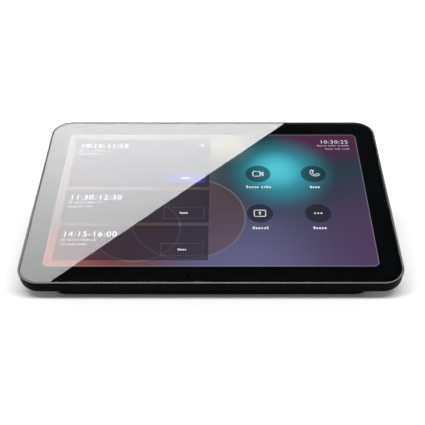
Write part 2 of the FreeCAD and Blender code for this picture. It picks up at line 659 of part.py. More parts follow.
def cut_flex_window(body, depth, height):
    size = ("dims.flex_window_width", "dims.flex_window_depth", None)
    cut_slab(body, *size, minus(depth), height, "-dims.flex_window_offset", "-dims.flex_row")


def make_sensor_lens():
    body = new_body("sensor_lens")
    height = "(dims.mask_thickness + dims.gasket_thickness)"
    add_pins(body, [SENSOR_POINT], "dims.sensor_radius", minus(FRAME_TOP), height)
    return body


def make_presence_sensor():
    body = new_body("presence_sensor")
    low = minus(f"{FRAME_TOP} + dims.sensor_length")
    add_pins(body, [SENSOR_POINT], "dims.sensor_radius", low, "dims.sensor_length")
    return body


def make_back_housing():
    bottom = minus(HEAD_THICKNESS)
    seat = minus(HOUSING_SEAT)
    height = f"({HEAD_THICKNESS} - dims.trim_height)"
    body = slab("back_housing", HOUSING_WIDTH, HOUSING_DEPTH, HOUSING_CORNER, bottom, height)
    soften(body, "Fillet", at_level(bottom), "dims.edge_radius")
    room = f"({HOUSING_SEAT} - dims.trim_height)"
    cut_slab(body, CAVITY_WIDTH, CAVITY_DEPTH, CAVITY_CORNER, "-dims.trim_height", room)
    soften(body, "Fillet", at_level(seat), "(dims.edge_radius - dims.housing_wall)")
    cut_glass_room(body, "-dims.trim_height", f"({STACK_TOP} + dims.rebate_gap - dims.trim_height)")
    add_pins(body, HOUSING_SCREWS, "dims.standoff_radius", seat, "dims.standoff_height")
    base_post = "(dims.base_thread_length - dims.housing_floor)"
    add_pins(body, BASE_SCREWS, "dims.standoff_radius", seat, base_post)
    through = "(dims.standoff_height + dims.housing_floor)"
    cut_holes(body, HOUSING_SCREWS, "(dims.screw_radius + dims.screw_gap)", minus(FRAME_BOTTOM), through)
    head_top = f"({bottom} + dims.screw_head_height)"
    head_hole = "(dims.screw_head_radius + dims.screw_gap)"
    cut_holes(body, HOUSING_SCREWS, head_hole, head_top, "dims.screw_head_height")
    thread_top = f"({bottom} + dims.base_thread_length)"
    cut_holes(body, BASE_SCREWS, "dims.screw_radius", thread_top, "dims.base_thread_length")
    cut_flex_window(body, HOUSING_SEAT, "dims.housing_floor")
    return body


def make_housing_screws():
    seat = f"(dims.screw_head_height - {HEAD_THICKNESS})"
    reach = "(dims.housing_floor - dims.screw_head_height + dims.standoff_height + dims.thread_length)"
    return screw_set("housing_screws", HOUSING_SCREWS, seat, reach)


def make_base_screws():
    seat = minus(f"{HEAD_THICKNESS} + dims.base_ceiling")
    return screw_set("base_screws", BASE_SCREWS, seat, "(dims.base_ceiling + dims.base_thread_length)")


# The base

BOSSES = four(BOSS_X, BOSS_FRONT, BOSS_REAR)
POSTS = four(POST_X, f"({BOARD_MIDDLE} - {POST_SPAN})", f"({BOARD_MIDDLE} + {POST_SPAN})")
FEET = {
    "front_foot": f"({PLATE_FRONT} + dims.foot_inset)",
    "rear_foot": f"({PLATE_REAR} - dims.foot_inset)",
}


def draw_base_plan(sketch):
    """The outline of the base from above: a bowed front, straight sides and rear, rounded corners."""
    half, rear = number("dims.base_width / 2"), number(BASE_REAR)
    bow, corner = number("dims.base_bow"), number("dims.base_corner")
    centre = number(BASE_FRONT) + bow
    inner = half - corner
    swing = math.asin(inner / (bow - corner))
    low = centre - (bow - corner) * math.cos(swing)
    high = rear - corner
    down = -math.pi / 2

    def arc(x, y, radius, start, end):
        return Part.ArcOfCircle(Part.Circle(Vector(x, y, 0), Vector(0, 0, 1), radius), start, end)

    sketch.addGeometry(arc(0, centre, bow, down - swing, down + swing))
    sketch.addGeometry(Part.LineSegment(Vector(half, low, 0), Vector(half, high, 0)))
    sketch.addGeometry(Part.LineSegment(Vector(inner, rear, 0), Vector(-inner, rear, 0)))
    sketch.addGeometry(Part.LineSegment(Vector(-half, high, 0), Vector(-half, low, 0)))
    sketch.addGeometry(arc(inner, low, corner, down + swing, 0))
    sketch.addGeometry(arc(inner, high, corner, 0, math.pi / 2))
    sketch.addGeometry(arc(-inner, high, corner, math.pi / 2, math.pi))
    sketch.addGeometry(arc(-inner, low, corner, math.pi, 2 * math.pi + down - swing))
    fixed = [Sketcher.Constraint("Tangent", i, 2, 4 + i, 1) for i in range(4)]
    fixed += [Sketcher.Constraint("Tangent", 4 + i, 2, (i + 1) % 4, 1) for i in range(4)]
    fixed += [Sketcher.Constraint("Vertical", i) for i in (1, 3)]
    fixed += [Sketcher.Constraint("Horizontal", 2)]
    fixed += [Sketcher.Constraint("Equal", 4, i) for i in (5, 6, 7)]
    fixed += [Sketcher.Constraint("PointOnObject", 0, 3, -2)]
    sizes = [
        ("Radius", (0,), "dims.base_bow"),
        ("Radius", (4,), "dims.base_corner"),
        ("DistanceY", (-1, 1, 0, 3), f"({BASE_FRONT} + dims.base_bow)"),
        ("DistanceY", (-1, 1, 2, 1), BASE_REAR),
        ("DistanceX", (-1, 1, 1, 1), "dims.base_width / 2"),
        ("DistanceX", (-1, 1, 3, 1), "-dims.base_width / 2"),
    ]
    constrain(sketch, fixed, sizes)


def cut_slope(body, drop, top):
    """Takes away what lies above the underside of the head, or a plane that far below it."""
    front = f"({BASE_FRONT} - dims.base_setback)"
    rear = f"({BASE_REAR} + dims.base_wall)"
    sketch = sketch_on(body, "YZ_Plane")
    low_front = f"({underside(front)} - {drop})"
    low_rear = f"({underside(rear)} - {drop})"
    draw_polygon(sketch, [(front, low_front), (rear, low_rear), (rear, top), (front, top)])
    pocket(body, sketch, "2 * dims.base_width", middle=True)


def make_base_shell():
    top = f"({underside(BASE_REAR)} + 2 * dims.base_ceiling)"
    outer = new_body("base_outer")
    sketch = sketch_on(outer, "XY_Plane", level="dims.foot_height")
    draw_base_plan(sketch)
    pad(outer, sketch, f"({underside(BASE_REAR)} + dims.base_ceiling - dims.foot_height)")
    cut_slope(outer, "0", top)

    length = f"({ROOM_REAR} - {ROOM_FRONT})"
    middle = f"(({ROOM_REAR} + {ROOM_FRONT}) / 2)"
    room_height = f"({underside(BASE_REAR)} + dims.base_ceiling)"
    room = slab("base_room", ROOM_WIDTH, length, ROOM_CORNER, "0", room_height, y=middle)
    cut_slope(room, f"(dims.base_ceiling / {COS})", top)
    cut_holes(room, BOSSES, "dims.boss_radius", room_height, f"({room_height} - {PLATE_TOP})")

    through = new_body("base_head_openings")
    through.AllowCompound = True
    low = minus(f"{HEAD_THICKNESS} + 2 * dims.base_ceiling")
    window = ("dims.flex_window_width", "dims.flex_window_depth", None, low, "2 * dims.base_ceiling")
    add_slab(through, *window, "-dims.flex_window_offset", "-dims.flex_row")
    add_pins(through, BASE_SCREWS, "(dims.screw_radius + dims.screw_gap)", low, "2 * dims.base_ceiling")
    place_in_head(through)

    openings = new_body("base_rear_openings")
    openings.AllowCompound = True
    reach = "2 * dims.base_wall"
    front = f"({BASE_REAR} - 1.5 * dims.base_wall)"
    bay_width = f"({BAY_OUTER_WIDTH} + 2 * dims.bay_gap)"
    bay_height = "(dims.bay_height + 2 * dims.bay_wall + dims.bay_gap)"
    add_upright(openings, bay_width, bay_height, None, front, reach, "0", PLATE_TOP)
    lock_width = "(dims.lock_slot_width + 2 * dims.lock_margin)"
    lock_height = "(dims.lock_slot_height + 2 * dims.lock_margin)"
    lock_place = ("-dims.lock_offset", f"(dims.lock_height - {lock_height} / 2)")
    add_upright(openings, lock_width, lock_height, "dims.lock_margin", front, reach, *lock_place)
    add_pins(openings, BOSSES, "dims.screw_radius", PLATE_TOP, "dims.thread_length")
    return subtract("base_shell", outer, room, through, openings)


def make_base_plate():
    middle = f"(({PLATE_FRONT} + {PLATE_REAR}) / 2)"
    width = f"({ROOM_WIDTH} - 2 * dims.plate_gap)"
    corner = f"({ROOM_CORNER} - dims.plate_gap)"
    size = (width, f"({PLATE_REAR} - {PLATE_FRONT})", corner)
    body = slab("base_plate", *size, "dims.foot_height", "dims.plate_thickness", y=middle)
    add_pins(body, POSTS, "dims.post_radius", PLATE_TOP, "dims.post_height")
    cut_holes(body, POSTS, "dims.screw_radius", BOARD_BOTTOM, "dims.thread_length")
    cut_holes(body, BOSSES, "(dims.screw_radius + dims.screw_gap)", PLATE_TOP, "dims.plate_thickness")
    head_top = "(dims.foot_height + dims.screw_head_height)"
    head_hole = "(dims.screw_head_radius + dims.screw_gap)"
    cut_holes(body, BOSSES, head_hole, head_top, "dims.screw_head_height")
    for place in FEET.values():
        recess = ("(dims.foot_length + 2 * dims.foot_gap)", "(dims.foot_width + 2 * dims.foot_gap)", None)
        cut_slab(body, *recess, "(dims.foot_height + dims.foot_recess)", "dims.foot_recess", y=place)
    return body


def make_foot(label):
    height = "(dims.foot_height + dims.foot_recess)"
    return slab(label, "dims.foot_length", "dims.foot_width", None, "0", height, y=FEET[label])


def make_base_plate_screws():
    seat = "(dims.foot_height + dims.screw_head_height)"
    reach = "(dims.plate_thickness - dims.screw_head_height + dims.thread_length)"
    return screw_set("base_plate_screws", BOSSES, seat, reach)


def make_ballast_plate():
    size = ("dims.ballast_width", "dims.ballast_depth", None)
    return slab("ballast_plate", *size, PLATE_TOP, "dims.ballast_thickness", y=BOARD_MIDDLE)


# The board and what it carries

FLEX_DEPTH = f"({FRAME_SEAT} + dims.flex_run)"
FLEX_Y = head_y("-dims.flex_row", FLEX_DEPTH)
FLEX_CABLES = {
    "lcd_flex_cable": ("dims.display_flex_place", "dims.display_flex_width"),
    "touch_flex_cable": ("-dims.touch_flex_place", "dims.touch_flex_width"),
    "sensor_flex_cable": ("-dims.sensor_offset", "dims.sensor_flex_width"),
}


def make_main_board():
    size = ("dims.board_width", "dims.board_depth", None)
    body = slab("main_board", *size, BOARD_BOTTOM, "dims.board_thickness", y=BOARD_MIDDLE)
    cut_holes(body, POSTS, "(dims.screw_radius + dims.screw_gap)", BOARD_TOP, "dims.board_thickness")
    return body


def make_board_screws():
    reach = "(dims.board_thickness + dims.thread_length)"
    return screw_set("board_screws", POSTS, BOARD_TOP, reach, heads_up=True)


def make_flex_connectors():
    body = new_body("flex_connectors")
    body.AllowCompound = True
    for place, width in FLEX_CABLES.values():
        size = (f"({width} + 2 * dims.connector_margin)", "dims.connector_depth", None)
        add_slab(body, *size, BOARD_TOP, "dims.connector_height", place, FLEX_Y)
    return body


def make_processor_shield():
    size = ("dims.shield_side", "dims.shield_side", None)
    return slab("processor_shield", *size, BOARD_TOP, "dims.shield_height", "-dims.shield_offset", SHIELD_Y)


def make_thermal_pad():
    size = ("dims.shield_side", "dims.shield_side", None)
    return slab("thermal_pad", *size, SHIELD_TOP, "dims.pad_thickness", "-dims.shield_offset", SHIELD_Y)


def make_heat_spreader():
    low = f"({SHIELD_TOP} + dims.pad_thickness)"
    size = (SPREADER_SIDE, SPREADER_SIDE, None)
    body = slab("heat_spreader", *size, low, "dims.spreader_thickness", "-dims.shield_offset", SHIELD_Y)
    fin_low = f"({low} + dims.spreader_thickness)"
    steps = int(number(f"({SPREADER_SIDE} - dims.fin_thickness) / 2 / dims.fin_pitch"))
    fin = ("dims.fin_thickness", SPREADER_SIDE, None)
    for step in range(-steps, steps + 1):
        place = f"({step} * dims.fin_pitch - dims.shield_offset)"
        add_slab(body, *fin, fin_low, "dims.fin_height", place, SHIELD_Y)
    return body


def make_power_transformer():
    size = ("dims.transformer_width", "dims.transformer_depth", None)
    place = ("dims.transformer_offset", POWER_Y)
    return slab("power_transformer", *size, BOARD_TOP, "dims.transformer_height", *place)


def make_power_capacitors():
    body = new_body("power_capacitors")
    body.AllowCompound = True
    rows = [f"({POWER_Y} + {step} * dims.capacitor_pitch)" for step in (-1, 0, 1)]
    points = [("dims.capacitor_offset", row) for row in rows]
    add_pins(body, points, "dims.capacitor_radius", BOARD_TOP, "dims.capacitor_height")
    return body


def make_ribbon(label, corners):
    """A flat flex cable through the given points in Y and Z, with round bends at them."""
    place, width = (number(size) for size in FLEX_CABLES[label])
    half, bend = number("dims.flex_thickness") / 2, number("dims.flex_bend")
    points = [Vector(0, number(y), number(z)) for y, z in corners]
    runs = [(b - a).normalize() for a, b in zip(points, points[1:])]
    sides = [Vector(0, -run.z, run.y) for run in runs]

    def one_side(offset):
        edges = []
        last = points[0] + sides[0] * offset
        for i in range(1, len(points) - 1):
            turn = runs[i - 1].getAngle(runs[i])
            back = bend * math.tan(turn / 2)
            inward = (runs[i] - runs[i - 1]).normalize()
            centre = points[i] + inward * (bend / math.cos(turn / 2))
            middle = centre - inward * bend
            across = (sides[i - 1] + sides[i]).normalize()
            start = points[i] - runs[i - 1] * back + sides[i - 1] * offset
            end = points[i] + runs[i] * back + sides[i] * offset
            edges.append(Part.LineSegment(last, start).toShape())
            edges.append(Part.Arc(start, middle + across * offset, end).toShape())
            last = end
        edges.append(Part.LineSegment(last, points[-1] + sides[-1] * offset).toShape())
        return edges

    left, right = one_side(half), one_side(-half)
    caps = [
        Part.LineSegment(points[0] + sides[0] * half, points[0] - sides[0] * half).toShape(),
        Part.LineSegment(points[-1] + sides[-1] * half, points[-1] - sides[-1] * half).toShape(),
    ]
    outline = Part.Wire(Part.__sortEdges__(left + right + caps))
    ribbon = doc.addObject("Part::Feature", label)
    ribbon.Shape = Part.Face(outline).extrude(Vector(width, 0, 0))
    ribbon.Placement = FreeCAD.Placement(Vector(place - width / 2, 0, 0), FreeCAD.Rotation())
    return ribbon


def drop_to_board():
    """The last two points of each flex cable: where it turns upright, and the top of its connector."""
    turn = (FLEX_Y, head_z("-dims.flex_row", FLEX_DEPTH))
    return [turn, (FLEX_Y, f"({BOARD_TOP} + dims.connector_height)")]


def make_straight_ribbon(label):
    start = (head_y("-dims.flex_row", FRAME_SEAT), head_z("-dims.flex_row", FRAME_SEAT))
    return make_ribbon(label, [start] + drop_to_board())


def make_sensor_ribbon():
    sensor = SENSOR_POINT[1]
    low = f"({FRAME_BOTTOM} + dims.sensor_flex_drop)"
    route = [
        (sensor, f"({FRAME_TOP} + dims.sensor_length)"),
        (sensor, low),
        ("-dims.flex_row", low),
    ]
    points = [(head_y(along, depth), head_z(along, depth)) for along, depth in route]
    return make_ribbon("sensor_flex_cable", points + drop_to_board())


# The ports, the reset button and the cable cover


def make_port_bay():
    height = "(dims.bay_height + 2 * dims.bay_wall)"
    body = upright_block("port_bay", BAY_OUTER_WIDTH, height, BAY_FRONT, "dims.bay_depth", "0", PLATE_TOP)
    depth = "(dims.bay_depth - dims.bay_wall)"
    cut_upright(body, "dims.bay_width", "dims.bay_height", None, BAY_WALL_REAR, depth, "0", BAY_FLOOR)
    cut_port(body, "dims.jack_width", "dims.jack_height", None, "-dims.jack_offset")
    cut_port(body, "dims.usb_width", "dims.usb_height", "dims.usb_corner", "dims.usb_offset")
    hole = "(dims.button_radius + dims.button_gap)"
    cut_upright_pin(body, hole, BAY_FRONT, "dims.bay_wall", "dims.button_offset", BUTTON_Z)
    rod_hole = side_circle(body, "(dims.rod_radius + dims.rod_seat_gap)", HINGE_Y, HINGE_Z)
    pocket(body, rod_hole, f"2 * {BAY_OUTER_WIDTH}", middle=True)
    return body


def cut_port(body, width, height, corner, x):
    """The opening for a port in the inner wall of the bay."""
    wide, high = (f"({size} + 2 * dims.port_gap)" for size in (width, height))
    round_corner = f"({corner} + dims.port_gap)" if corner else None
    low = f"({BOARD_TOP} - dims.port_gap)"
    cut_upright(body, wide, high, round_corner, BAY_FRONT, "dims.bay_wall", x, low)


def make_ethernet_jack():
    x = "-dims.jack_offset"
    front = f"({PORT_FACE} - dims.jack_length)"
    size = ("dims.jack_width", "dims.jack_height")
    body = upright_block("ethernet_jack", *size, front, "dims.jack_length", x, BOARD_TOP)
    inner =f"({PORT_FACE} - dims.mouth_depth)"
    low = f"({BOARD_TOP} + dims.mouth_rise)"
    cut_upright(body, "dims.mouth_width", "dims.mouth_height", None, inner, "dims.mouth_depth", x, low)
    slot_low = f"({low} + dims.mouth_height)"
    cut_upright(body, "dims.latch_width", "dims.latch_height", None, inner, "dims.mouth_depth", x, slot_low)
    return body


def make_usb_c_socket():
    body = new_body("usb_c_socket")
    x = "dims.usb_offset"
    front = f"({PORT_FACE} - dims.usb_length)"
    size = ("dims.usb_width", "dims.usb_height", "dims.usb_corner")
    add_upright(body, *size, front, "dims.usb_length", x, BOARD_TOP)
    inner =f"({front} + dims.usb_back)"
    wide, high = (f"(dims.usb_{side} - 2 * dims.usb_sheet)" for side in ("width", "height"))
    depth = "(dims.usb_length - dims.usb_back)"
    low = f"({BOARD_TOP} + dims.usb_sheet)"
    cut_upright(body, wide, high, "(dims.usb_corner - dims.usb_sheet)", inner, depth, x, low)
    tongue_low = f"({BOARD_TOP} + (dims.usb_height - dims.tongue_thickness) / 2)"
    tongue = ("dims.tongue_width", "dims.tongue_thickness", None, inner, f"({depth} - dims.tongue_short)")
    add_upright(body, *tongue, x, tongue_low)
    return body


def make_reset_button():
    body = new_body("reset_button")
    place = ("dims.button_offset", BUTTON_Z)
    add_upright_pin(body, "dims.flange_radius", FLANGE_FRONT, "dims.flange_thickness", *place)
    stem = f"({BAY_WALL_REAR} + dims.button_proud - {FLANGE_REAR})"
    add_upright_pin(body, "dims.button_radius", FLANGE_REAR, stem, *place)
    return body


def make_switch_plunger():
    body = new_body("switch_plunger")
    inner = f"({SWITCH_FACE} - dims.plunger_insert)"
    length = f"({FLANGE_FRONT} - {inner})"
    add_upright_pin(body, "dims.plunger_radius", inner, length, "dims.button_offset", BUTTON_Z)
    return body


def make_reset_switch():
    x = "dims.button_offset"
    front = f"({SWITCH_FACE} - dims.switch_depth)"
    size = ("dims.switch_width", "dims.switch_height")
    body = upright_block("reset_switch", *size, front, "dims.switch_depth", x, BOARD_TOP)
    bore = "(dims.plunger_insert + dims.button_travel + dims.switch_clearance)"
    inner = f"({SWITCH_FACE} - {bore})"
    cut_upright_pin(body, "(dims.plunger_radius + dims.plunger_gap)", inner, bore, x, BUTTON_Z)
    return body


def make_lock_slot_plate():
    x = "-dims.lock_offset"
    front = f"({ROOM_REAR} - dims.lock_plate_thickness)"
    low = "(dims.lock_height - dims.lock_plate_height / 2)"
    size = ("dims.lock_plate_width", "dims.lock_plate_height")
    body = upright_block("lock_slot_plate", *size, front, "dims.lock_plate_thickness", x, low)
    slot_low = "(dims.lock_height - dims.lock_slot_height / 2)"
    slot = ("dims.lock_slot_width", "dims.lock_slot_height", None)
    cut_upright(body, *slot, front, "dims.lock_plate_thickness", x, slot_low)
    return body


def make_cable_cover():
    body = new_body("cable_cover")
    face = f"({BASE_REAR} - dims.cover_thickness)"
    height = f"({HINGE_Z} - {COVER_BOTTOM})"
    add_upright(body, COVER_WIDTH, height, None, face, "dims.cover_thickness", "0", COVER_BOTTOM)
    pad(body, side_circle(body, "dims.barrel_radius", HINGE_Y, HINGE_Z), COVER_WIDTH, middle=True)
    bore = side_circle(body, "(dims.rod_radius + dims.rod_gap)", HINGE_Y, HINGE_Z)
    pocket(body, bore, f"2 * {COVER_WIDTH}", middle=True)
    notch_low = f"({COVER_BOTTOM} - dims.notch_height)"
    notch = ("dims.notch_width", "2 * dims.notch_height", "dims.notch_corner")
    cut_upright(body, *notch, face, "dims.cover_thickness", "0", notch_low)
    return body


def make_cover_hinge_rod():
    body = new_body("cover_hinge_rod")
    pad(body, side_circle(body, "dims.rod_radius", HINGE_Y, HINGE_Z), BAY_OUTER_WIDTH, middle=True)
    return body


# Every sub-part of the console

head_parts = [
    make_cover_glass(),
    make_trim_ring(),
    make_border_mask(),
    make_display_gasket(),
    make_touch_sensor(),
    make_lcd_panel(),
    make_backlight_stack(),
    make_lcd_tray(),
    make_mid_frame(),
    make_sensor_lens(),
    make_presence_sensor(),
    make_back_housing(),
    make_housing_screws(),
    make_base_screws(),
]
for part in head_parts:
    place_in_head(part)

base_parts = [
    make_base_shell(),
    make_base_plate(),
    make_base_plate_screws(),
    make_ballast_plate(),
    make_main_board(),
    make_board_screws(),
    make_flex_connectors(),
    make_processor_shield(),
    make_thermal_pad(),
    make_heat_spreader(),
    make_power_transformer(),
    make_power_capacitors(),
    make_sensor_ribbon(),
    make_port_bay(),
    make_ethernet_jack(),
    make_usb_c_socket(),
    make_reset_button(),
    make_switch_plunger(),
    make_reset_switch(),
    make_lock_slot_plate(),
    make_cable_cover(),
    make_cover_hinge_rod(),
]
base_parts += [make_foot(label) for label in FEET]
base_parts += [make_straight_ribbon(label) for label in ("lcd_flex_cable", "touch_flex_cable")]

doc.recompute()
for item in doc.Objects:
    if "Invalid" in item.State or "Error" in item.State:
        raise RuntimeError(f"{item.Label} failed: {item.State}")
for part in head_parts + base_parts:
    if part.Shape.isNull() or not part.Shape.isValid():
        raise RuntimeError(f"{part.Label} has no valid shape")

os.makedirs("parts", exist_ok=True)
for part in head_parts + base_parts:
    part.Shape.exportStep(f"parts/{part.Label}.step")
    print(part.Label, len(part.Shape.Solids), round(part.Shape.Volume, 1))
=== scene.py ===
import json
import math

import bmesh
import bpy
from mathutils import Matrix, Vector

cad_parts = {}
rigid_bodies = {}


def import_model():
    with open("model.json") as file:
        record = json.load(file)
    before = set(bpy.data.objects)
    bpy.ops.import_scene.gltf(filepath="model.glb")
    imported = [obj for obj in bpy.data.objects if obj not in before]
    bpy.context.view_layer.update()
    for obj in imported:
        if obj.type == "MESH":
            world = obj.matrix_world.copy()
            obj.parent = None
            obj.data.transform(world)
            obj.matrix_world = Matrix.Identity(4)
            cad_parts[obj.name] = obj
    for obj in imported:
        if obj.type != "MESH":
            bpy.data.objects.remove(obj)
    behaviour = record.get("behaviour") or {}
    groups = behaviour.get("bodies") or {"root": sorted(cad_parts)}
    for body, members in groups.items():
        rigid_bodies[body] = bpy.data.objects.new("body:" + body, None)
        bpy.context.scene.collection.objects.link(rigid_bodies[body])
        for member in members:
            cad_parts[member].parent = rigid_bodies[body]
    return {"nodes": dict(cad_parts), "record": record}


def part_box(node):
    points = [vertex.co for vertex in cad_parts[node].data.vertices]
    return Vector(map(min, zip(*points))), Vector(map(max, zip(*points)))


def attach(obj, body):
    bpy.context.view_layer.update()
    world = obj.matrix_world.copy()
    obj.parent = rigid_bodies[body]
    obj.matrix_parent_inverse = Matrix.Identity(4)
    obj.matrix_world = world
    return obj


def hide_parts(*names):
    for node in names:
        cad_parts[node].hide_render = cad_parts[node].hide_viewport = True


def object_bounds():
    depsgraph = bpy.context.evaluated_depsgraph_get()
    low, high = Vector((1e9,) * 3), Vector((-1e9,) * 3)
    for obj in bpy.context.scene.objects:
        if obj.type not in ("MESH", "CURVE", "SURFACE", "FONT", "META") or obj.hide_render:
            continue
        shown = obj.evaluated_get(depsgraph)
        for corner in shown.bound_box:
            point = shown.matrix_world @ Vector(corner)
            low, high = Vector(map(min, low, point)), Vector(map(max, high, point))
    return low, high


# The looks of a tabletop meeting-room touch console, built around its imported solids.
# The console looks towards -Y, and +Z is up. Lengths are in metres, and the picture on the screen
# is laid out in millimetres.

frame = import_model()
cad_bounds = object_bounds()

MM = 0.001

# The head's own frame starts in the middle of the glass's face: X to the right, Y up the glass and
# Z out of it. The middle of the display panel lies straight behind that point.
TILT = math.radians(25)
PANEL_DEPTH = 2.3 * MM

panel_low, panel_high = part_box("lcd_panel")
head_turn = Matrix.Rotation(TILT, 4, "X")
glass_middle = (panel_low + panel_high) / 2 + head_turn @ Vector((0, 0, PANEL_DEPTH))
HEAD = Matrix.Translation(glass_middle) @ head_turn

GLASS_SIZE = (244.0 * MM, 162.6 * MM)
GLASS_CORNER = 13.0 * MM
GLASS_BEVEL = 0.04 * MM
GLASS_UNDER_BEVEL = 0.06 * MM
GLASS_BOTTOM = -1.08 * MM
SCREEN_SIZE = (217.0 * MM, 135.6 * MM)
SCREEN_CORNER = 4.0 * MM

# A thin pale edge runs round the picture. Its lower side lies a little above the picture's end.
SCREEN_EDGE = 0.5 * MM
SCREEN_EDGE_LIFT = 0.5 * MM

# Round the glass lie a black bead, a silver line and a black lip. They are measured outwards from
# the edge of the glass and upwards from its face.
BEAD_INNER = 0.01 * MM
BEAD_WIDTH = 0.38 * MM
BEAD_TOP = -0.05 * MM
BEAD_BOTTOM = -1.24 * MM
BEAD_SHELF_INNER = -0.38 * MM
BEAD_SHELF_TOP = -1.11 * MM
TRIM_INNER = 0.41 * MM
TRIM_WIDTH = 0.76 * MM
TRIM_ROUND = 0.12 * MM
TRIM_BOTTOM = -0.59 * MM
LIP_SEAM = 0.02 * MM
LIP_TOP = -0.08 * MM
LIP_OUTER = 1.6 * MM
LIP_ROUND = 0.4 * MM

# Depths of the layers of the picture on the screen, each a thin sheet on the one before
WALLPAPER = (-1.60 * MM, -1.55 * MM)
CARDS = (-1.55 * MM, -1.50 * MM)
BUTTONS = (-1.50 * MM, -1.45 * MM)
SYMBOLS = (-1.45 * MM, -1.40 * MM)


# Outlines and meshes

SHARP_ANGLE = math.radians(35)
QUAD = 4

# Least cosines for the mitres at the corners of a loop and of a pen line, which keep them short
LOOP_MITRE = 0.3
PEN_MITRE = 0.4


def rounded_outline(width, depth, corner, middle=(0, 0), steps=8):
    """Points round a rectangle with round corners, anticlockwise."""
    points = []
    for turn, (right, up) in enumerate(((1, 1), (-1, 1), (-1, -1), (1, -1))):
        x = middle[0] + right * (width / 2 - corner)
        y = middle[1] + up * (depth / 2 - corner)
        for step in range(steps + 1):
            angle = math.pi / 2 * (turn + step / steps)
            points.append((x + corner * math.cos(angle), y + corner * math.sin(angle)))
    return points


def arc(middle, radius, start, end, steps=16):
    """Points along an arc, with its angles in degrees."""
    angles = (math.radians(start + (end - start) * step / steps) for step in range(steps + 1))
    return [(middle[0] + radius * math.cos(a), middle[1] + radius * math.sin(a)) for a in angles]


def circle(middle, radius, steps=48):
    return arc(middle, radius, 0, 360, steps)[:-1]


def offset_loop(points, distance):
    """A closed anticlockwise outline moved outwards, or inwards where the distance is negative."""
    shifted = []
    for i, (x, y) in enumerate(points):
        before = Vector((x, y)) - Vector(points[i - 1])
        after = Vector(points[(i + 1) % len(points)]) - Vector((x, y))
        normals = [Vector((d.y, -d.x)).normalized() for d in (before, after)]
        middle = (normals[0] + normals[1]).normalized()
        reach = distance / max(middle.dot(normals[0]), LOOP_MITRE)
        shifted.append((x + middle.x * reach, y + middle.y * reach))
    return shifted


def stroke_outline(points, width, steps=8):
    """The outline of a pen line with round ends along the points."""
    right = []
    for i, (x, y) in enumerate(points):
        before = Vector((x, y)) - Vector(points[max(i - 1, 0)])
        after = Vector(points[min(i + 1, len(points) - 1)]) - Vector((x, y))
        ways = [Vector((d.y, -d.x)).normalized() for d in (before, after) if d.length > 0]
        middle = sum(ways, Vector((0, 0))).normalized()
        reach = width / 2 / max(middle.dot(ways[0]), PEN_MITRE)
        right.append(middle * reach)
    forward = [(x + r.x, y + r.y) for (x, y), r in zip(points, right)]
    backward = [(x - r.x, y - r.y) for (x, y), r in zip(points, right)][::-1]
    far_end = end_cap(points[-1], right[-1], steps)
    near_end = end_cap(points[0], -right[0], steps)
    return forward + far_end + backward + near_end


def end_cap(point, reach, steps):
    """The half circle from one side of a pen line's end to the other, without its two ends."""
    angle = math.degrees(math.atan2(reach.y, reach.x))
    return arc(point, reach.length, angle, angle + 180, steps)[1:-1]


def rounding(reach, height, radius, steps=6):
    """The quarter circle of a section, from an outer side over to a top."""
    angles = (math.pi / 2 * step / steps for step in range(steps + 1))
    return [(reach - radius * (1 - math.cos(a)), height - radius * (1 - math.sin(a))) for a in angles]


def add_rings(bm, sections):
    """Rings of points, from outlines with their heights."""
    return [[bm.verts.new((x, y, height)) for x, y in outline] for outline, height in sections]


def join_rings(bm, lower, upper):
    for i in range(len(lower)):
        bm.faces.new((lower[i - 1], lower[i], upper[i], upper[i - 1]))


def add_stack(bm, sections):
    """A closed solid through outlines with their heights, from the lowest to the highest."""
    rings = add_rings(bm, sections)
    for lower, upper in zip(rings, rings[1:]):
        join_rings(bm, lower, upper)
    bm.faces.new(rings[0][::-1])
    bm.faces.new(rings[-1])


def add_tube(bm, sections):
    """A closed hoop through outlines with their heights, the last of them joined to the first."""
    rings = add_rings(bm, sections)
    for lower, upper in zip(rings, rings[1:] + rings[:1]):
        join_rings(bm, lower, upper)


def add_sheet(bm, outline, layer):
    low, high = layer
    add_stack(bm, ((outline, low), (outline, high)))


def add_frame(bm, outer, inner, layer):
    """A flat ring between two outlines that have as many points each."""
    low, high = layer
    add_tube(bm, ((outer, low), (outer, high), (inner, high), (inner, low)))


def add_line(bm, outline, width, layer):
    """A closed outline drawn with a pen of that width."""
    add_frame(bm, offset_loop(outline, width / 2), offset_loop(outline, -width / 2), layer)


def rolls_over(edge):
    """Whether shading runs on over an edge. It stops at sharp edges and at flat ends of many corners."""
    if len(edge.link_faces) != 2:
        return False
    flat_end = any(len(face.verts) > QUAD for face in edge.link_faces)
    return not flat_end and edge.calc_face_angle() < SHARP_ANGLE


def add_piece(name, bm, material, body="console", place=None):
    """The mesh as a named piece that rides on a body, with the material it is given."""
    mesh = bpy.data.meshes.new(name)
    bm.normal_update()
    for face in bm.faces:
        face.smooth = True
    for edge in bm.edges:
        edge.smooth = rolls_over(edge)
    bm.to_mesh(mesh)
    bm.free()
    mesh.materials.append(material)
    piece = bpy.data.objects.new(name, mesh)
    bpy.context.scene.collection.objects.link(piece)
    if place is not None:
        piece.matrix_world = place
    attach(piece, body)
    return piece


# Materials

# Places of the sockets for colours on a mix node: the factor and the two colours, and the result
MIX_INPUTS = (0, 6, 7)
MIX_RESULT = 2


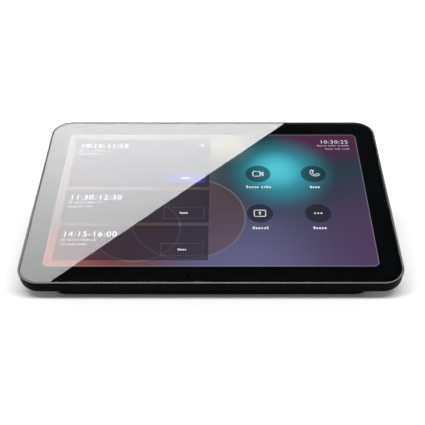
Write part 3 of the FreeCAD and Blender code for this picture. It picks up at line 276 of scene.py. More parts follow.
class Nodes:
    """A tree of nodes, with short ways to add nodes and to set or link their sockets."""

    def __init__(self, owner):
        owner.use_nodes = True
        self.tree = owner.node_tree
        self.coordinates = self.add("ShaderNodeTexCoord").outputs

    def add(self, kind, inputs=None, **settings):
        node = self.tree.nodes.new(kind)
        for name, value in settings.items():
            setattr(node, name, value)
        for name, value in (inputs or {}).items():
            self.put(node.inputs[name], value)
        return node

    def put(self, socket, value):
        """Links another node's output to a socket, or sets it to a plain value."""
        if isinstance(value, bpy.types.NodeSocket):
            self.tree.links.new(value, socket)
        else:
            socket.default_value = value

    def ranged(self, value, low, high, first=0.0, last=1.0, smooth=False):
        """The value mapped from first..last to low..high."""
        kind = "SMOOTHSTEP" if smooth else "LINEAR"
        inputs = {"Value": value, "From Min": first, "From Max": last, "To Min": low, "To Max": high}
        return self.add("ShaderNodeMapRange", inputs, interpolation_type=kind).outputs["Result"]

    def maths(self, operation, first, second=0.0):
        return self.add("ShaderNodeMath", {0: first, 1: second}, operation=operation).outputs[0]

    def vectors(self, operation, first, second):
        return self.add("ShaderNodeVectorMath", {0: first, 1: second}, operation=operation).outputs


class Look(Nodes):
    """A material, with patterns that lie fixed on its piece."""

    def __init__(self, name):
        self.material = bpy.data.materials.new(name)
        super().__init__(self.material)
        self.shader = self.tree.nodes["Principled BSDF"]
        self.place = self.coordinates["Object"]

    def surface(self, **values):
        """Sets the shader's sockets by name, with _ for a space and Specular for short."""
        for name, value in values.items():
            socket = "Specular IOR Level" if name == "Specular" else name.replace("_", " ")
            self.put(self.shader.inputs[socket], value)
        return self.material

    def noise(self, size, detail=3.0, stretch=(1, 1, 1)):
        """Cloudy grey from 0 to 1 with blots of that size."""
        mapping = self.add("ShaderNodeMapping", {"Vector": self.place, "Scale": stretch})
        inputs = {"Vector": mapping.outputs["Vector"], "Scale": 1 / size, "Detail": detail}
        return self.add("ShaderNodeTexNoise", inputs).outputs["Fac"]

    def cells(self, size):
        """Distances from the middles of cells of that size."""
        inputs = {"Vector": self.place, "Scale": 1 / size}
        return self.add("ShaderNodeTexVoronoi", inputs).outputs["Distance"]

    def mixed(self, factor, first, second):
        """One colour turning into another as the factor goes from 0 to 1."""
        node = self.add("ShaderNodeMix", data_type="RGBA")
        for index, value in zip(MIX_INPUTS, (factor, first, second)):
            self.put(node.inputs[index], (*value, 1) if isinstance(value, tuple) else value)
        return node.outputs[MIX_RESULT]

    def clouded(self, colour, size, darkest, lightest):
        """The colour times a factor that drifts between two values, in clouds of that size."""
        return self.mixed(self.noise(size), shade(colour, darkest), shade(colour, lightest))

    def bump(self, height, depth):
        return self.add("ShaderNodeBump", {"Height": height, "Distance": depth}).outputs["Normal"]


def shade(colour, factor):
    return tuple(min(part * factor, 1.0) for part in colour)


# PAINTED_SHADE_BLACK is painted shade: a black darker than the plastic, for faces that lie in shade.
PAINTED_SHADE_BLACK = (0.0012, 0.0015, 0.002)
ANTHRACITE = (0.034, 0.0345, 0.036)
SILVER = (0.155, 0.162, 0.166)
STEEL = (0.56, 0.56, 0.57)
RUBBER = (0.014, 0.014, 0.015)
PLASTIC_CLOUDS = 18 * MM
PLASTIC_SPREAD = 0.07
METAL_CLOUDS = 9 * MM
METAL_SPREAD = 0.06
BOARD_GRID = 8 * MM
FINISH_EDGE = 0.2 * MM

# The polished near-black covers the sides of the head and the front of the base. That near-black is
# painted shade: it stands for the shade on the head's front wall and on the base's front under the head.
# Past it the plastic shows its own grained anthracite.
SIDE_BAND = 10.4 * MM
BASE_CHIN = 6.0 * MM
INWARDS = -HEAD.to_3x3().col[2]
BACKWARDS = Vector((0, 1, 0))
SIDE_LEVEL = glass_middle.dot(INWARDS) + SIDE_BAND
CHIN_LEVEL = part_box("base_shell")[0].y + BASE_CHIN


def moulded(name, colour, roughness, grain, specular=0.35, depth=0.02 * MM):
    """Moulded plastic or rubber with a fine spark-eroded grain and faint clouding."""
    look = Look(name)
    fine = look.noise(grain, detail=2.0)
    return look.surface(
        Base_Color=look.clouded(colour, PLASTIC_CLOUDS, darkest=0.82, lightest=1.18),
        Roughness=look.ranged(fine, roughness - PLASTIC_SPREAD, roughness + PLASTIC_SPREAD),
        Normal=look.bump(fine, depth),
        Specular=specular,
    )


def two_tone_with_painted_shade(name, way, level, specular):
    """Moulded plastic that is polished black up to a level along a way, which is painted shade, and
    grained anthracite past it.
    """
    look = Look(name)
    along = look.vectors("DOT_PRODUCT", look.place, way)["Value"]
    # The near-black up to the level is painted shade. Past it the colour is the plastic's own anthracite.
    grained = look.ranged(along, 0.0, 1.0, level, level + FINISH_EDGE)
    grain = look.maths("MULTIPLY", look.noise(0.3 * MM, detail=2.0), grained)
    anthracite = look.clouded(ANTHRACITE, PLASTIC_CLOUDS, darkest=0.85, lightest=1.15)
    return look.surface(
        Base_Color=look.mixed(grained, PAINTED_SHADE_BLACK, anthracite),
        Roughness=look.ranged(grain, 0.3, 0.6),
        Normal=look.bump(grain, 0.03 * MM),
        Specular=specular,
    )


def metal(name, colour, roughness, grain, stretch=(1, 1, 1), depth=0.004 * MM):
    """Metal with a blasted grain, or a brushed one where the grain is stretched."""
    look = Look(name)
    fine = look.noise(grain, stretch=stretch)
    return look.surface(
        Base_Color=look.clouded(colour, METAL_CLOUDS, darkest=0.93, lightest=1.05),
        Roughness=look.ranged(fine, roughness - METAL_SPREAD, roughness + METAL_SPREAD),
        Normal=look.bump(fine, depth),
        Metallic=1.0,
    )


def satin_silver(name, colour):
    """Silver lacquer: flakes of metal in a matt coat."""
    look = Look(name)
    flakes = look.cells(0.15 * MM)
    return look.surface(
        Base_Color=look.clouded(colour, METAL_CLOUDS, darkest=0.94, lightest=1.05),
        Roughness=look.ranged(flakes, 0.4, 0.55),
        Normal=look.bump(flakes, 0.003 * MM),
        Metallic=0.2,
        Specular=0.4,
    )


def clear_glass(name):
    """Polished glass with the faintest uneven polish."""
    look = Look(name)
    polish = look.noise(40 * MM)
    return look.surface(
        Base_Color=look.mixed(polish, (0.985, 0.99, 0.99), (0.99, 0.995, 0.995)),
        Roughness=look.ranged(polish, 0.0, 0.006),
        Transmission_Weight=1.0,
        IOR=1.5,
    )


def printed_black(name):
    """Black ink on the underside of the glass."""
    look = Look(name)
    ink = look.noise(0.4 * MM)
    return look.surface(
        Base_Color=look.mixed(ink, (0.0010, 0.0018, 0.0026), (0.0014, 0.0024, 0.0034)),
        Roughness=look.ranged(ink, 0.5, 0.6),
        Specular=0.0,
    )


def foam(name, colour):
    """Soft foam or pad with open pores."""
    look = Look(name)
    pores = look.cells(0.5 * MM)
    return look.surface(
        Base_Color=look.mixed(pores, shade(colour, 0.5), shade(colour, 1.3)),
        Roughness=look.ranged(pores, 0.8, 0.95),
        Normal=look.bump(pores, 0.1 * MM),
        Specular=0.2,
    )


def film(name, colour, gloss, specular=0.5):
    """Plastic film or light-guide sheet with faint streaks."""
    look = Look(name)
    streaks = look.noise(1.5 * MM, stretch=(1, 0.1, 1))
    return look.surface(
        Base_Color=look.mixed(streaks, shade(colour, 0.88), shade(colour, 1.06)),
        Roughness=look.ranged(streaks, gloss - 0.05, gloss + 0.08),
        Specular=specular,
    )


def solder_mask(name):
    """A green board with lighter tracks showing through the lacquer."""
    look = Look(name)
    bricks = look.add(
        "ShaderNodeTexBrick",
        {
            "Vector": look.place,
            "Color1": (0.012, 0.10, 0.05, 1),
            "Color2": (0.016, 0.12, 0.06, 1),
            "Mortar": (0.03, 0.19, 0.09, 1),
            "Scale": 1 / BOARD_GRID,
            "Mortar Size": 0.035,
        },
    )
    return look.surface(
        Base_Color=bricks.outputs["Color"],
        Roughness=look.ranged(look.noise(2 * MM), 0.25, 0.38),
        Normal=look.bump(bricks.outputs["Fac"], 0.03 * MM),
    )


# One finish for each slot of the record
MATERIALS = {
    "glass": clear_glass("clear_glass"),
    "border_print": printed_black("border_ink"),
    "trim_silver": satin_silver("satin_silver", SILVER),
    "display": film("display_film", (0.01, 0.011, 0.013), 0.3),
    "light_guide": film("light_guide_sheet", (0.86, 0.86, 0.84), 0.25),
    "steel": metal("rolled_steel", STEEL, 0.34, 0.25 * MM, stretch=(0.15, 1, 1)),
    "alloy": metal("cast_alloy", (0.5, 0.51, 0.52), 0.45, 0.35 * MM, depth=0.02 * MM),
    # Painted shade: both plastics are near-black on the head's sides and the base's front.
    "body_black": two_tone_with_painted_shade("housing_plastic", INWARDS, SIDE_LEVEL, specular=0.02),
    "base_black": two_tone_with_painted_shade("base_plastic", BACKWARDS, CHIN_LEVEL, specular=0.05),
    "foot_rubber": moulded("foot_rubber", RUBBER, 0.82, 0.5 * MM, specular=0.2, depth=0.05 * MM),
    "foam_black": foam("foam_tape", (0.02, 0.02, 0.021)),
    "thermal_grey": foam("thermal_pad", (0.36, 0.4, 0.44)),
    "board_green": solder_mask("solder_mask"),
    "connector_black": moulded("connector_plastic", (0.02, 0.02, 0.021), 0.4, 0.2 * MM),
    "capacitor_can": metal("capacitor_sleeve", (0.3, 0.32, 0.36), 0.3, 0.2 * MM),
    "flex_amber": film("flex_film", (0.5, 0.22, 0.04), 0.28),
    "button_grey": moulded("button_plastic", (0.16, 0.16, 0.165), 0.45, 0.2 * MM),
    "sensor_dark": film("sensor_window", (0.0004, 0.0004, 0.0005), 0.4, specular=0.0),
}


def dress_nodes():
    """Gives every solid of the frame the material of its slot."""
    slots = {row["node"]: row["material_slot"] for row in frame["record"]["subparts"]}
    for name, node in frame["nodes"].items():
        node.data.materials.clear()
        node.data.materials.append(MATERIALS[slots[name]])


# The picture on the screen

# Soft discs of the wallpaper, from the one behind to the one in front: middle and radius in mm on
# the screen, width of the soft edge, strength and colour
DISCS = (
    ((20, -95), 125, 105, 1.0, (0.13, 0.12, 0.245)),
    ((128, -48), 100, 88, 0.9, (0.09, 0.043, 0.115)),
    ((-75, -78), 74, 60, 0.9, (0.20, 0.06, 0.06)),
    ((-112, -62), 56, 48, 0.85, (0.36, 0.12, 0.10)),
    ((-70, 40), 100, 75, 0.85, (0.21, 0.19, 0.225)),
    ((-108, 8), 60, 55, 0.6, (0.26, 0.17, 0.18)),
    ((10, 56), 26, 22, 0.7, (0.26, 0.21, 0.15)),
    ((94, 84), 60, 30, 0.9, (0.085, 0.02, 0.065)),
    ((49, 25), 44, 40, 1.0, (0.04, 0.36, 0.46)),
    ((46, 27), 24, 22, 0.7, (0.12, 0.66, 0.76)),
    ((-16, -22), 40, 1.2, 0.5, (0.12, 0.05, 0.035)),
    ((-50, -34), 30, 1.2, 0.4, (0.10, 0.045, 0.04)),
)
RIMMED = DISCS[-2:]
RIM_WIDTH = 0.9
RIM_COLOUR = (0.22, 0.26, 0.32)
RIM_STRENGTH = 0.5
BACKGROUND = (0.018, 0.045, 0.06)
SCREEN_LIGHT = 1.1

# Symbols and keys give light and are painted as well, so they stand out in a bright room. Their light
# is a little uneven.
LIGHT_SHARE = 0.5
LIGHT_SPREAD = 0.02
LIGHT_CLOUDS = 3 * MM
PAINT_SHARE = 0.35

# Tints of the sheets in front of the wallpaper with their shares, and colours of what is drawn on them
EDGE_TINT = ((0.5, 0.48, 0.52), 0.3)
CARD_TINT = ((0.02, 0.02, 0.038), 0.72)
ROUND_TINT = ((0.012, 0.014, 0.022), 0.72)
LILAC = (0.07, 0.075, 0.33)
GREY = (0.12, 0.12, 0.16)
WHITE = (0.92, 0.93, 0.95)
PALE = (0.42, 0.43, 0.46)


def soft_disc(look, middle, radius, edge):
    """1 inside a disc on the screen, falling to 0 over its soft edge."""
    flat = look.vectors("MULTIPLY", look.place, (1, 1, 0))["Vector"]
    away = look.vectors("DISTANCE", flat, (middle[0] * MM, middle[1] * MM, 0))["Value"]
    return look.ranged(away, 1.0, 0.0, (radius - edge) * MM, radius * MM, smooth=True)


def wallpaper_colour(look):
    """Overlapping soft discs of colour on a dark ground, the foremost with a light rim."""
    colour = BACKGROUND
    for middle, radius, edge, strength, tint in DISCS:
        factor = look.maths("MULTIPLY", soft_disc(look, middle, radius, edge), strength)
        colour = look.mixed(factor, colour, tint)
    for middle, radius, edge, *_ in RIMMED:
        inside = soft_disc(look, middle, radius - RIM_WIDTH, edge)
        rim = look.maths("SUBTRACT", soft_disc(look, middle, radius, edge), inside)
        colour = look.mixed(look.maths("MULTIPLY", rim, RIM_STRENGTH), colour, RIM_COLOUR)
    return colour


def lit(look, colour, paint=(0, 0, 0, 1)):
    """A part of the picture: it gives light, and reflects none unless it is painted."""
    return look.surface(
        Base_Color=paint,
        Roughness=1.0,
        Specular=0.0,
        Emission_Color=colour,
        Emission_Strength=SCREEN_LIGHT,
    )


def wallpaper_look(name):
    look = Look(name)
    return lit(look, wallpaper_colour(look))


def tinted_look(name, tint, share):
    """The wallpaper seen through a tinted sheet."""
    look = Look(name)
    return lit(look, look.mixed(share, wallpaper_colour(look), tint))


def glowing_paint(name, colour):
    look = Look(name)
    light = look.clouded(colour, LIGHT_CLOUDS, LIGHT_SHARE - LIGHT_SPREAD, LIGHT_SHARE + LIGHT_SPREAD)
    return lit(look, light, paint=(*shade(colour, PAINT_SHARE), 1))


# Layout of the picture, in mm from the middle of the screen. Labels and captions are given by the
# numbers of letters in their words.
CARD_LEFT = -103.0
CARD_RIGHT = -2.0
CARD_ROWS = ((62.0, 8.5), (5.5, -27.5), (-30.5, -62.0))
CARD_CORNER = 0.6
CARD_BUTTON = (27.5, 11.0)
CARD_BUTTON_CORNER = 0.4
CARD_BUTTON_MARGIN = (3.5, 4.0)
CARD_BUTTON_PEN = 0.35
CARD_BUTTON_WORDS = (4,)
CARD_MARK_INSET = (6.5, 7.0)
CARD_MARK_RADIUS = 1.6
CARD_TEXT_LEFT = -99.5
TITLES = ("10:15-11:15", "11:30-12:30", "14:15-16:00")
TITLE_DROP = 10.2
TITLE_SIZE = 6.8
DIGIT_SPACING = 1.12
CAPTIONS = ((2, 2, 2, 5, 2), (7, 4))
CAPTION_DROPS = (14.1, 18.1)
CAPTION_SIZE = 1.9
ROUND_COLUMNS = (33.0, 73.0)
ROUND_ROWS = (22.5, -18.5)
ROUND_RADIUS = 9.0
LABELS = ((5, 4), (4,), (6,), (5,))
LABEL_DROP = 15.3
LABEL_SIZE = 2.4
CLOCK = "10:30:25"
CLOCK_RIGHT = 102.3
CLOCK_BASE = 57.2
CLOCK_SIZE = 5.6
CLOCK_CAPTIONS = ((5, 4, 6), (4, 3, 4))
CLOCK_CAPTION_BASES = (53.7, 49.9)

# Blocks that stand for letters, as shares of the height of a tall letter
LOW_LETTER = 0.72
LETTER_WIDTH = 0.55
LETTER_STEP = 0.78
LETTER_CORNER = 0.12
WORD_GAP = 0.55
TALL_EVERY = 5

# Symbols on the round keys, in mm from the middle of the key. A body is given by its width, height,
# corner and middle, an arc by its radius and angles, and the handset before it is turned.
PEN = 0.65
CORNER_STEPS = 4
CAMERA_BODY = (5.4, 5.2, 1.3, (-1.1, 0))
CAMERA_HOOD = ((2.3, -0.8), (3.6, -1.9), (3.6, 1.9), (2.3, 0.8))
HANDSET_MIDDLE = (0, -1.8)
HANDSET_BACK = (3.8, 15, 165)
HANDSET_GRIP = (2.2, 140, 40)
HANDSET_EAR = [(3.7, -2.2), (1.9, -2.2), (1.75, -0.8)]
HANDSET_TURN = math.radians(135)
HANDSET_SHIFT = 0.2
SHARE_SCREEN = (7.8, 6.2, 0.9, (0, 0))
SHARE_STEM = ((0, -1.7), (0, 0.4))
SHARE_TIP = ((-1.4, 0.25), (1.4, 0.25), (0, 1.8))
DOT_COLUMNS = (-2.2, 0, 2.2)
DOT_RADIUS = 0.75


def scaled(points):
    return [(x * MM, y * MM) for x, y in points]


def moved(points, place):
    return scaled([(x + place[0], y + place[1]) for x, y in points])


def box_outline(left, right, low, high, corner):
    middle = ((left + right) / 2, (low + high) / 2)
    return scaled(rounded_outline(right - left, high - low, corner, middle, CORNER_STEPS))


def add_to_screen(name, bm, material):
    """A piece of the picture, drawn in the head's own frame."""
    add_piece(name, bm, material, place=HEAD)


def make_screen():
    """The lit picture: wallpaper, cards, buttons, and symbols on top."""
    sheet = bmesh.new()
    add_sheet(sheet, rounded_outline(*SCREEN_SIZE, SCREEN_CORNER), WALLPAPER)
    add_to_screen("screen_wallpaper", sheet, wallpaper_look("screen_wallpaper"))
    edge = bmesh.new()
    width, depth = SCREEN_SIZE
    outer = rounded_outline(width, depth - SCREEN_EDGE_LIFT, SCREEN_CORNER, (0, SCREEN_EDGE_LIFT / 2))
    add_frame(edge, outer, offset_loop(outer, -SCREEN_EDGE), CARDS)
    add_to_screen("screen_edge", edge, tinted_look("screen_edge", *EDGE_TINT))
    make_cards()
    make_round_buttons()
    make_symbols()


def make_cards():
    """Three cards with a key each: the first key is filled, the others are outlined."""
    cards = bmesh.new()
    outlines = bmesh.new()
    solid = bmesh.new()
    for row, (high, low) in enumerate(CARD_ROWS):
        add_sheet(cards, box_outline(CARD_LEFT, CARD_RIGHT, low, high, CARD_CORNER), CARDS)
        right = CARD_RIGHT - CARD_BUTTON_MARGIN[0]
        left = right - CARD_BUTTON[0]
        bottom = low + CARD_BUTTON_MARGIN[1]
        button = box_outline(left, right, bottom, bottom + CARD_BUTTON[1], CARD_BUTTON_CORNER)
        if row == 0:
            add_sheet(solid, button, BUTTONS)
        else:
            add_line(outlines, button, CARD_BUTTON_PEN * MM, BUTTONS)
    add_to_screen("screen_cards", cards, tinted_look("screen_card", *CARD_TINT))
    add_to_screen("screen_join_key", solid, glowing_paint("screen_lilac", LILAC))
    add_to_screen("screen_card_keys", outlines, glowing_paint("screen_grey", GREY))


def round_places():
    return [(x, y) for y in ROUND_ROWS for x in ROUND_COLUMNS]


def make_round_buttons():
    discs = bmesh.new()
    for place in round_places():
        add_sheet(discs, scaled(circle(place, ROUND_RADIUS)), BUTTONS)
    add_to_screen("screen_round_keys", discs, tinted_look("screen_round_key", *ROUND_TINT))


def draw(bm, outline, place):
    """A closed outline drawn with the symbols' pen."""
    add_line(bm, moved(outline, place), PEN * MM, SYMBOLS)


def add_camera_symbol(bm, place):
    """A video camera: a rounded body and a lens hood."""
    draw(bm, rounded_outline(*CAMERA_BODY, CORNER_STEPS), place)
    draw(bm, CAMERA_HOOD, place)


def add_handset_symbol(bm, place):
    """A telephone handset, turned to stand at an angle."""
    back = arc(HANDSET_MIDDLE, *HANDSET_BACK, steps=14)
    left = [(-x, y) for x, y in HANDSET_EAR]
    grip = arc(HANDSET_MIDDLE, *HANDSET_GRIP, steps=8)
    right = HANDSET_EAR[::-1]
    turn = Matrix.Rotation(HANDSET_TURN, 2)
    turned = [turn @ Vector(point) for point in back + left + grip + right]
    draw(bm, [(point.x + HANDSET_SHIFT, point.y + HANDSET_SHIFT) for point in turned], place)


def add_share_symbol(bm, place):
    """A screen with an arrow that points up."""
    draw(bm, rounded_outline(*SHARE_SCREEN, CORNER_STEPS), place)
    add_sheet(bm, moved(stroke_outline(SHARE_STEM, PEN), place), SYMBOLS)
    add_sheet(bm, moved(SHARE_TIP, place), SYMBOLS)


def add_dots_symbol(bm, place):
    for x in DOT_COLUMNS:
        add_sheet(bm, moved(circle((x, 0), DOT_RADIUS, steps=20), place), SYMBOLS)


def add_digits(bm, words, end, base, size, align="LEFT"):
    """Plain digits of that size, with their left or right end at a place on the screen."""
    text = bpy.data.curves.new("digits", "FONT")
    text.body = words
    text.size = size * MM
    text.align_x = align
    text.space_character = DIGIT_SPACING
    text.extrude = (SYMBOLS[1] - SYMBOLS[0]) / 2
    holder = bpy.data.objects.new("digits", text)
    mesh = bpy.data.meshes.new_from_object(holder)
    mesh.transform(Matrix.Translation((end * MM, base * MM, sum(SYMBOLS) / 2)))
    bm.from_mesh(mesh)
    for data, store in ((holder, bpy.data.objects), (text, bpy.data.curves), (mesh, bpy.data.meshes)):
        store.remove(data)


def add_words(bm, left, base, size, lengths):
    """A line of words too small to read: blocks in place of letters, some of them taller than the rest."""
    place = left
    for word, length in enumerate(lengths):
        for letter in range(length):
            tall = (letter * 2 + word) % TALL_EVERY == 0
            top = base + (size if tall else size * LOW_LETTER)
            right = place + size * LETTER_WIDTH
            add_sheet(bm, box_outline(place, right, base, top, size * LETTER_CORNER), SYMBOLS)
            place += size * LETTER_STEP
        place += size * WORD_GAP


def words_width(size, lengths):
    letters = sum(lengths) * LETTER_STEP - (LETTER_STEP - LETTER_WIDTH)
    return size * (letters + (len(lengths) - 1) * WORD_GAP)


def add_centred_words(bm, middle, base, size, lengths):
    add_words(bm, middle - words_width(size, lengths) / 2, base, size, lengths)


def add_right_words(bm, right, base, size, lengths):
    add_words(bm, right - words_width(size, lengths), base, size, lengths)


def make_symbols():
    """Symbols, digits and the words on keys in white, and all other words in a paler tone."""
    bright = bmesh.new()
    symbols = (add_camera_symbol, add_handset_symbol, add_share_symbol, add_dots_symbol)
    for add_symbol, place in zip(symbols, round_places()):
        add_symbol(bright, place)
    for (x, y), lengths in zip(round_places(), LABELS):
        add_centred_words(bright, x, y - LABEL_DROP, LABEL_SIZE, lengths)
    for (high, _), title in zip(CARD_ROWS, TITLES):
        add_digits(bright, title, CARD_TEXT_LEFT, high - TITLE_DROP, TITLE_SIZE)
    add_digits(bright, CLOCK, CLOCK_RIGHT, CLOCK_BASE, CLOCK_SIZE, align="RIGHT")

    dim = bmesh.new()
    mark = (CARD_RIGHT - CARD_MARK_INSET[0], CARD_ROWS[0][0] - CARD_MARK_INSET[1])
    add_line(dim, scaled(circle(mark, CARD_MARK_RADIUS, steps=24)), PEN * MM, SYMBOLS)
    for high, low in CARD_ROWS:
        for drop, lengths in zip(CAPTION_DROPS, CAPTIONS):
            add_words(dim, CARD_TEXT_LEFT, high - drop, CAPTION_SIZE, lengths)
        middle = CARD_RIGHT - CARD_BUTTON_MARGIN[0] - CARD_BUTTON[0] / 2
        base = low + CARD_BUTTON_MARGIN[1] + (CARD_BUTTON[1] - CAPTION_SIZE) / 2
        add_centred_words(bright, middle, base, CAPTION_SIZE, CARD_BUTTON_WORDS)
    for base, lengths in zip(CLOCK_CAPTION_BASES, CLOCK_CAPTIONS):
        add_right_words(dim, CLOCK_RIGHT, base, CAPTION_SIZE, lengths)
    add_to_screen("screen_symbols", bright, glowing_paint("screen_white", WHITE))
    add_to_screen("screen_captions", dim, glowing_paint("screen_pale", PALE))


# The cover glass and its rim

RIM_STEPS = 24


def rim_outline(reach):
    """The outline of the glass, moved outwards by a reach."""
    width, depth = GLASS_SIZE
    return rounded_outline(width + 2 * reach, depth + 2 * reach, GLASS_CORNER + reach, steps=RIM_STEPS)


def rim_sections(sides):
    """Outlines with their heights, from points of a section: reach beyond the glass and height."""
    return [(rim_outline(reach), height) for reach, height in sides]


def make_glass():
    """The pane with its polished edge, and the bonded touch layer as part of it."""
    under = [(-GLASS_UNDER_BEVEL, GLASS_BOTTOM), (0, GLASS_BOTTOM + GLASS_UNDER_BEVEL)]
    bm = bmesh.new()
    add_stack(bm, rim_sections(under + rounding(0, 0, GLASS_BEVEL)))
    pane = add_piece("glass_pane", bm, MATERIALS["glass"], place=HEAD)
    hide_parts("cover_glass", "touch_sensor")


def make_glass_bead():
    """The black bead that fills the gap round the glass and runs in under its edge."""
    outer = BEAD_INNER + BEAD_WIDTH
    sides = (
        (outer, BEAD_BOTTOM),
        (outer, BEAD_TOP),
        (BEAD_INNER, BEAD_TOP),
        (BEAD_INNER, BEAD_SHELF_TOP),
        (BEAD_SHELF_INNER, BEAD_SHELF_TOP),
        (BEAD_SHELF_INNER, BEAD_BOTTOM),
    )
    bm = bmesh.new()
    add_tube(bm, rim_sections(sides))
    add_piece("glass_bead", bm, MATERIALS["border_print"], place=HEAD)


def add_trim(name, slot, inner, outer, top, radius):
    """A hoop round the glass with a rounded outer edge, set straight into the console's frame."""
    sides = [(outer, TRIM_BOTTOM)] + rounding(outer, top, radius) + [(inner, top), (inner, TRIM_BOTTOM)]
    bm = bmesh.new()
    add_tube(bm, rim_sections(sides))
    bm.transform(HEAD)
    return add_piece(name, bm, MATERIALS[slot])


def make_trim():
    """The silver line round the glass and the black lip that carries it."""
    outer = TRIM_INNER + TRIM_WIDTH
    line = add_trim("trim_line", "trim_silver", TRIM_INNER, outer, 0, TRIM_ROUND)
    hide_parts("trim_ring")
    add_trim("trim_lip", "body_black", outer + LIP_SEAM, LIP_OUTER, LIP_TOP, LIP_ROUND)


# The inside of the network jack

MOUTH_SIZE = (11.9 * MM, 7.2 * MM)
MOUTH_DEPTH = 15.0 * MM
MOUTH_RISE = 2.2 * MM
LINING = 0.12 * MM
LINING_GAP = 0.02 * MM
LINING_SETBACK = 0.6 * MM
CONTACTS = 8
CONTACT_PITCH = 1.02 * MM
CONTACT_WIDTH = 0.5 * MM
CONTACT_THICKNESS = 0.3 * MM

# The bend of a contact: depth behind the face of the jack and height over the lining
CONTACT_BEND = ((2.2 * MM, 0.2 * MM), (3.2 * MM, 0.5 * MM), (9.0 * MM, 3.6 * MM))

# Turns for outlines that stand upright: drawn across and up, or from front to back and up
FACING_BACK = Matrix(((1, 0, 0), (0, 0, -1), (0, 1, 0))).to_4x4()
FACING_SIDE = Matrix(((0, 0, 1), (1, 0, 0), (0, 1, 0))).to_4x4()


def make_jack_lining():
    """The black moulding in the mouth of the network jack, and the row of sprung contacts on it."""
    low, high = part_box("ethernet_jack")
    middle = (low.x + high.x) / 2
    floor = low.z + MOUTH_RISE
    left, right = (middle + side * (MOUTH_SIZE[0] / 2 - LINING_GAP) for side in (-1, 1))
    bottom = floor + LINING_GAP
    top = floor + MOUTH_SIZE[1] - LINING_GAP
    outer = [(left, top), (left, bottom), (right, bottom), (right, top)]
    inner = [(right - LINING, top), (right - LINING, bottom + LINING)]
    inner += [(left + LINING, bottom + LINING), (left + LINING, top)]
    front = LINING_SETBACK - high.y
    back = MOUTH_DEPTH - LINING_GAP - high.y
    moulding = bmesh.new()
    add_sheet(moulding, outer + inner, (front, back - LINING))
    add_sheet(moulding, outer, (back - LINING, back))
    add_piece("jack_lining", moulding, MATERIALS["connector_black"], place=FACING_BACK)

    contacts = bmesh.new()
    line = [(high.y - depth, floor + LINING + rise) for depth, rise in CONTACT_BEND]
    outline = stroke_outline(line, CONTACT_THICKNESS, steps=4)
    for index in range(CONTACTS):
        x = middle + (index - (CONTACTS - 1) / 2) * CONTACT_PITCH
        add_sheet(contacts, outline, (x - CONTACT_WIDTH / 2, x + CONTACT_WIDTH / 2))
    add_piece("jack_contacts", contacts, MATERIALS["steel"], place=FACING_SIDE)


# Camera, floor and light

# The photograph is 425 pixels square. The camera stands in front of the console, level from side
# to side, and the picture's middle lies a little left of the lens's axis.
IMAGE = 425
CAMERA_PLACE = (7.86 * MM, -524.8 * MM, 213.6 * MM)
CAMERA_PITCH = math.radians(19.06)
FOCAL_PIXELS = 782.0
AXIS_COLUMN = 223.26
SENSOR = 36.0
CLIP_START = 0.01


def make_camera():
    lens = bpy.data.cameras.new("camera")
    lens.sensor_width = SENSOR
    lens.lens = FOCAL_PIXELS / IMAGE * SENSOR
    lens.shift_x = (IMAGE / 2 - AXIS_COLUMN) / IMAGE
    lens.clip_start = CLIP_START
    camera = bpy.data.objects.new("camera", lens)
    camera.location = CAMERA_PLACE
    camera.rotation_euler = (math.pi / 2 - CAMERA_PITCH, 0, 0)
    bpy.context.scene.collection.objects.link(camera)
    bpy.context.scene.camera = camera


def stage_plane(name, corners, material):
    mesh = bpy.data.meshes.new(name)
    mesh.from_pydata(corners, [], [(0, 1, 2, 3)])
    mesh.materials.append(material)
    plane = bpy.data.objects.new(name, mesh)
    bpy.context.scene.collection.objects.link(plane)
    return plane


def background_rays(look):
    """1 for the rays that see the background itself: straight, mirrored or through glass."""
    path = look.add("ShaderNodeLightPath").outputs
    mirrored = look.maths("MAXIMUM", path["Is Glossy Ray"], path["Is Transmission Ray"])
    return look.maths("MAXIMUM", path["Is Camera Ray"], mirrored)


FULL_WHITE = (1, 1, 1, 1)
FLOOR_HALF = 6.0
FLOOR_COLOUR = (0.9, 0.9, 0.9, 1)
# Painted glow of the floor: its strength beside the console, and the distance from the console at which it
# reaches full white.
FLOOR_NEAR_GLOW = 0.015
FLOOR_CLEAR = 0.2


def make_floor():
    """A white floor that shows the console's shadow. A painted glow, nearly off beside the console,
    brightens it to plain white further off.
    """
    look = Look("white_floor")
    split = look.add("ShaderNodeSeparateXYZ", {0: look.place}).outputs
    sides = []
    for axis, half in zip("XY", cad_bounds[1]):
        beyond = look.maths("SUBTRACT", look.maths("ABSOLUTE", split[axis]), half)
        sides.append(look.maths("MAXIMUM", beyond, 0.0))
    squares = [look.maths("MULTIPLY", side, side) for side in sides]
    away = look.maths("SQRT", look.maths("ADD", *squares))
    painted_glow = look.ranged(away, FLOOR_NEAR_GLOW, 1.0, 0.0, FLOOR_CLEAR, smooth=True)
    look.surface(
        Base_Color=FLOOR_COLOUR,
        Roughness=1.0,
        Specular=0.0,
        Emission_Color=FULL_WHITE,
        Emission_Strength=look.maths("MULTIPLY", painted_glow, background_rays(look)),
    )
    signs = ((-1, -1), (1, -1), (1, 1), (-1, 1))
    stage_plane("floor", [(x * FLOOR_HALF, y * FLOOR_HALF, 0) for x, y in signs], look.material)


# The softbox hangs above and behind, to the left. One long edge of it shows as the diagonal in the
# glass, so that edge is given by two points, and the softbox reaches back from it. Its light grows
# from near to far, each given by a place along Y and a strength.
SOFTBOX_HEIGHT = 1.0
SOFTBOX_EDGE = (Vector((-0.320, 0.2125)), Vector((0.131, 0.5465)))
SOFTBOX_SPARE = 0.32
SOFTBOX_REACH = 0.85
SOFTBOX_NEAR = (0.2, 3.75)
SOFTBOX_FAR = (0.55, 6.15)


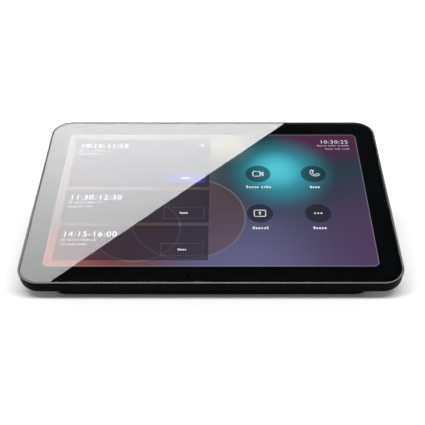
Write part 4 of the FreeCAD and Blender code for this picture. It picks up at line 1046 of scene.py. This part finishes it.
def make_softbox():
    look = Look("softbox")
    split = look.add("ShaderNodeSeparateXYZ", {0: look.place}).outputs
    near_place, near_light = SOFTBOX_NEAR
    far_place, far_light = SOFTBOX_FAR
    look.surface(
        Base_Color=(0, 0, 0, 1),
        Emission_Color=FULL_WHITE,
        Emission_Strength=look.ranged(split["Y"], near_light, far_light, near_place, far_place),
    )
    start, end = SOFTBOX_EDGE
    along = (end - start).normalized()
    back = Vector((-along.y, along.x)) * SOFTBOX_REACH
    first = start - along * SOFTBOX_SPARE
    last = end + along * SOFTBOX_SPARE
    corners = [(point.x, point.y, SOFTBOX_HEIGHT) for point in (first, first + back, last + back, last)]
    softbox = stage_plane("softbox", corners, look.material)
    softbox.visible_camera = False
    softbox.visible_diffuse = False


# The key lamp hangs overhead, a little in front, and draws the shadow under the front edge. It is
# wide from side to side, so the shadow is softer beside the console. The fill lamp stands low behind
# the console, where the glass doesn't face it, and lights the back. Each has its place, its width
# and height, and its power.
LAMPS = {
    "key": (Vector((0, -0.37, 1.2)), (2.0, 0.4), 20.5),
    "fill": (Vector((0, 1.4, 0.45)), (1.0, 1.0), 10.0),
}


def make_lamps():
    for name, (place, size, power) in LAMPS.items():
        light = bpy.data.lights.new(name, "AREA")
        light.energy = power
        light.shape = "RECTANGLE"
        light.size, light.size_y = size
        lamp = bpy.data.objects.new(name, light)
        lamp.location = place
        lamp.rotation_euler = place.to_track_quat("Z", "Y").to_euler()
        bpy.context.scene.collection.objects.link(lamp)


# The walls are bright up to one height in the sky and dark above another
WORLD_BRIGHT_BELOW = math.sin(math.radians(22))
WORLD_DARK_ABOVE = math.sin(math.radians(48))
WORLD_BRIGHT = 0.65
WORLD_DARK = 0.02


def make_world():
    """White walls all round under a dark ceiling. The camera sees plain white."""
    world = bpy.data.worlds.new("studio")
    bpy.context.scene.world = world
    nodes = Nodes(world)
    split = nodes.add("ShaderNodeSeparateXYZ", {0: nodes.coordinates["Generated"]}).outputs
    heights = (WORLD_BRIGHT_BELOW, WORLD_DARK_ABOVE)
    walls = nodes.ranged(split["Z"], WORLD_BRIGHT, WORLD_DARK, *heights, smooth=True)
    seen = nodes.add("ShaderNodeLightPath").outputs["Is Camera Ray"]
    background = nodes.tree.nodes["Background"].inputs
    nodes.put(background["Color"], FULL_WHITE)
    nodes.put(background["Strength"], nodes.maths("MAXIMUM", walls, seen))


dress_nodes()
make_screen()
make_glass()
make_glass_bead()
make_trim()
make_jack_lining()
make_camera()
make_floor()
make_softbox()
make_lamps()
make_world()
bpy.context.scene.view_settings.view_transform = "Standard"
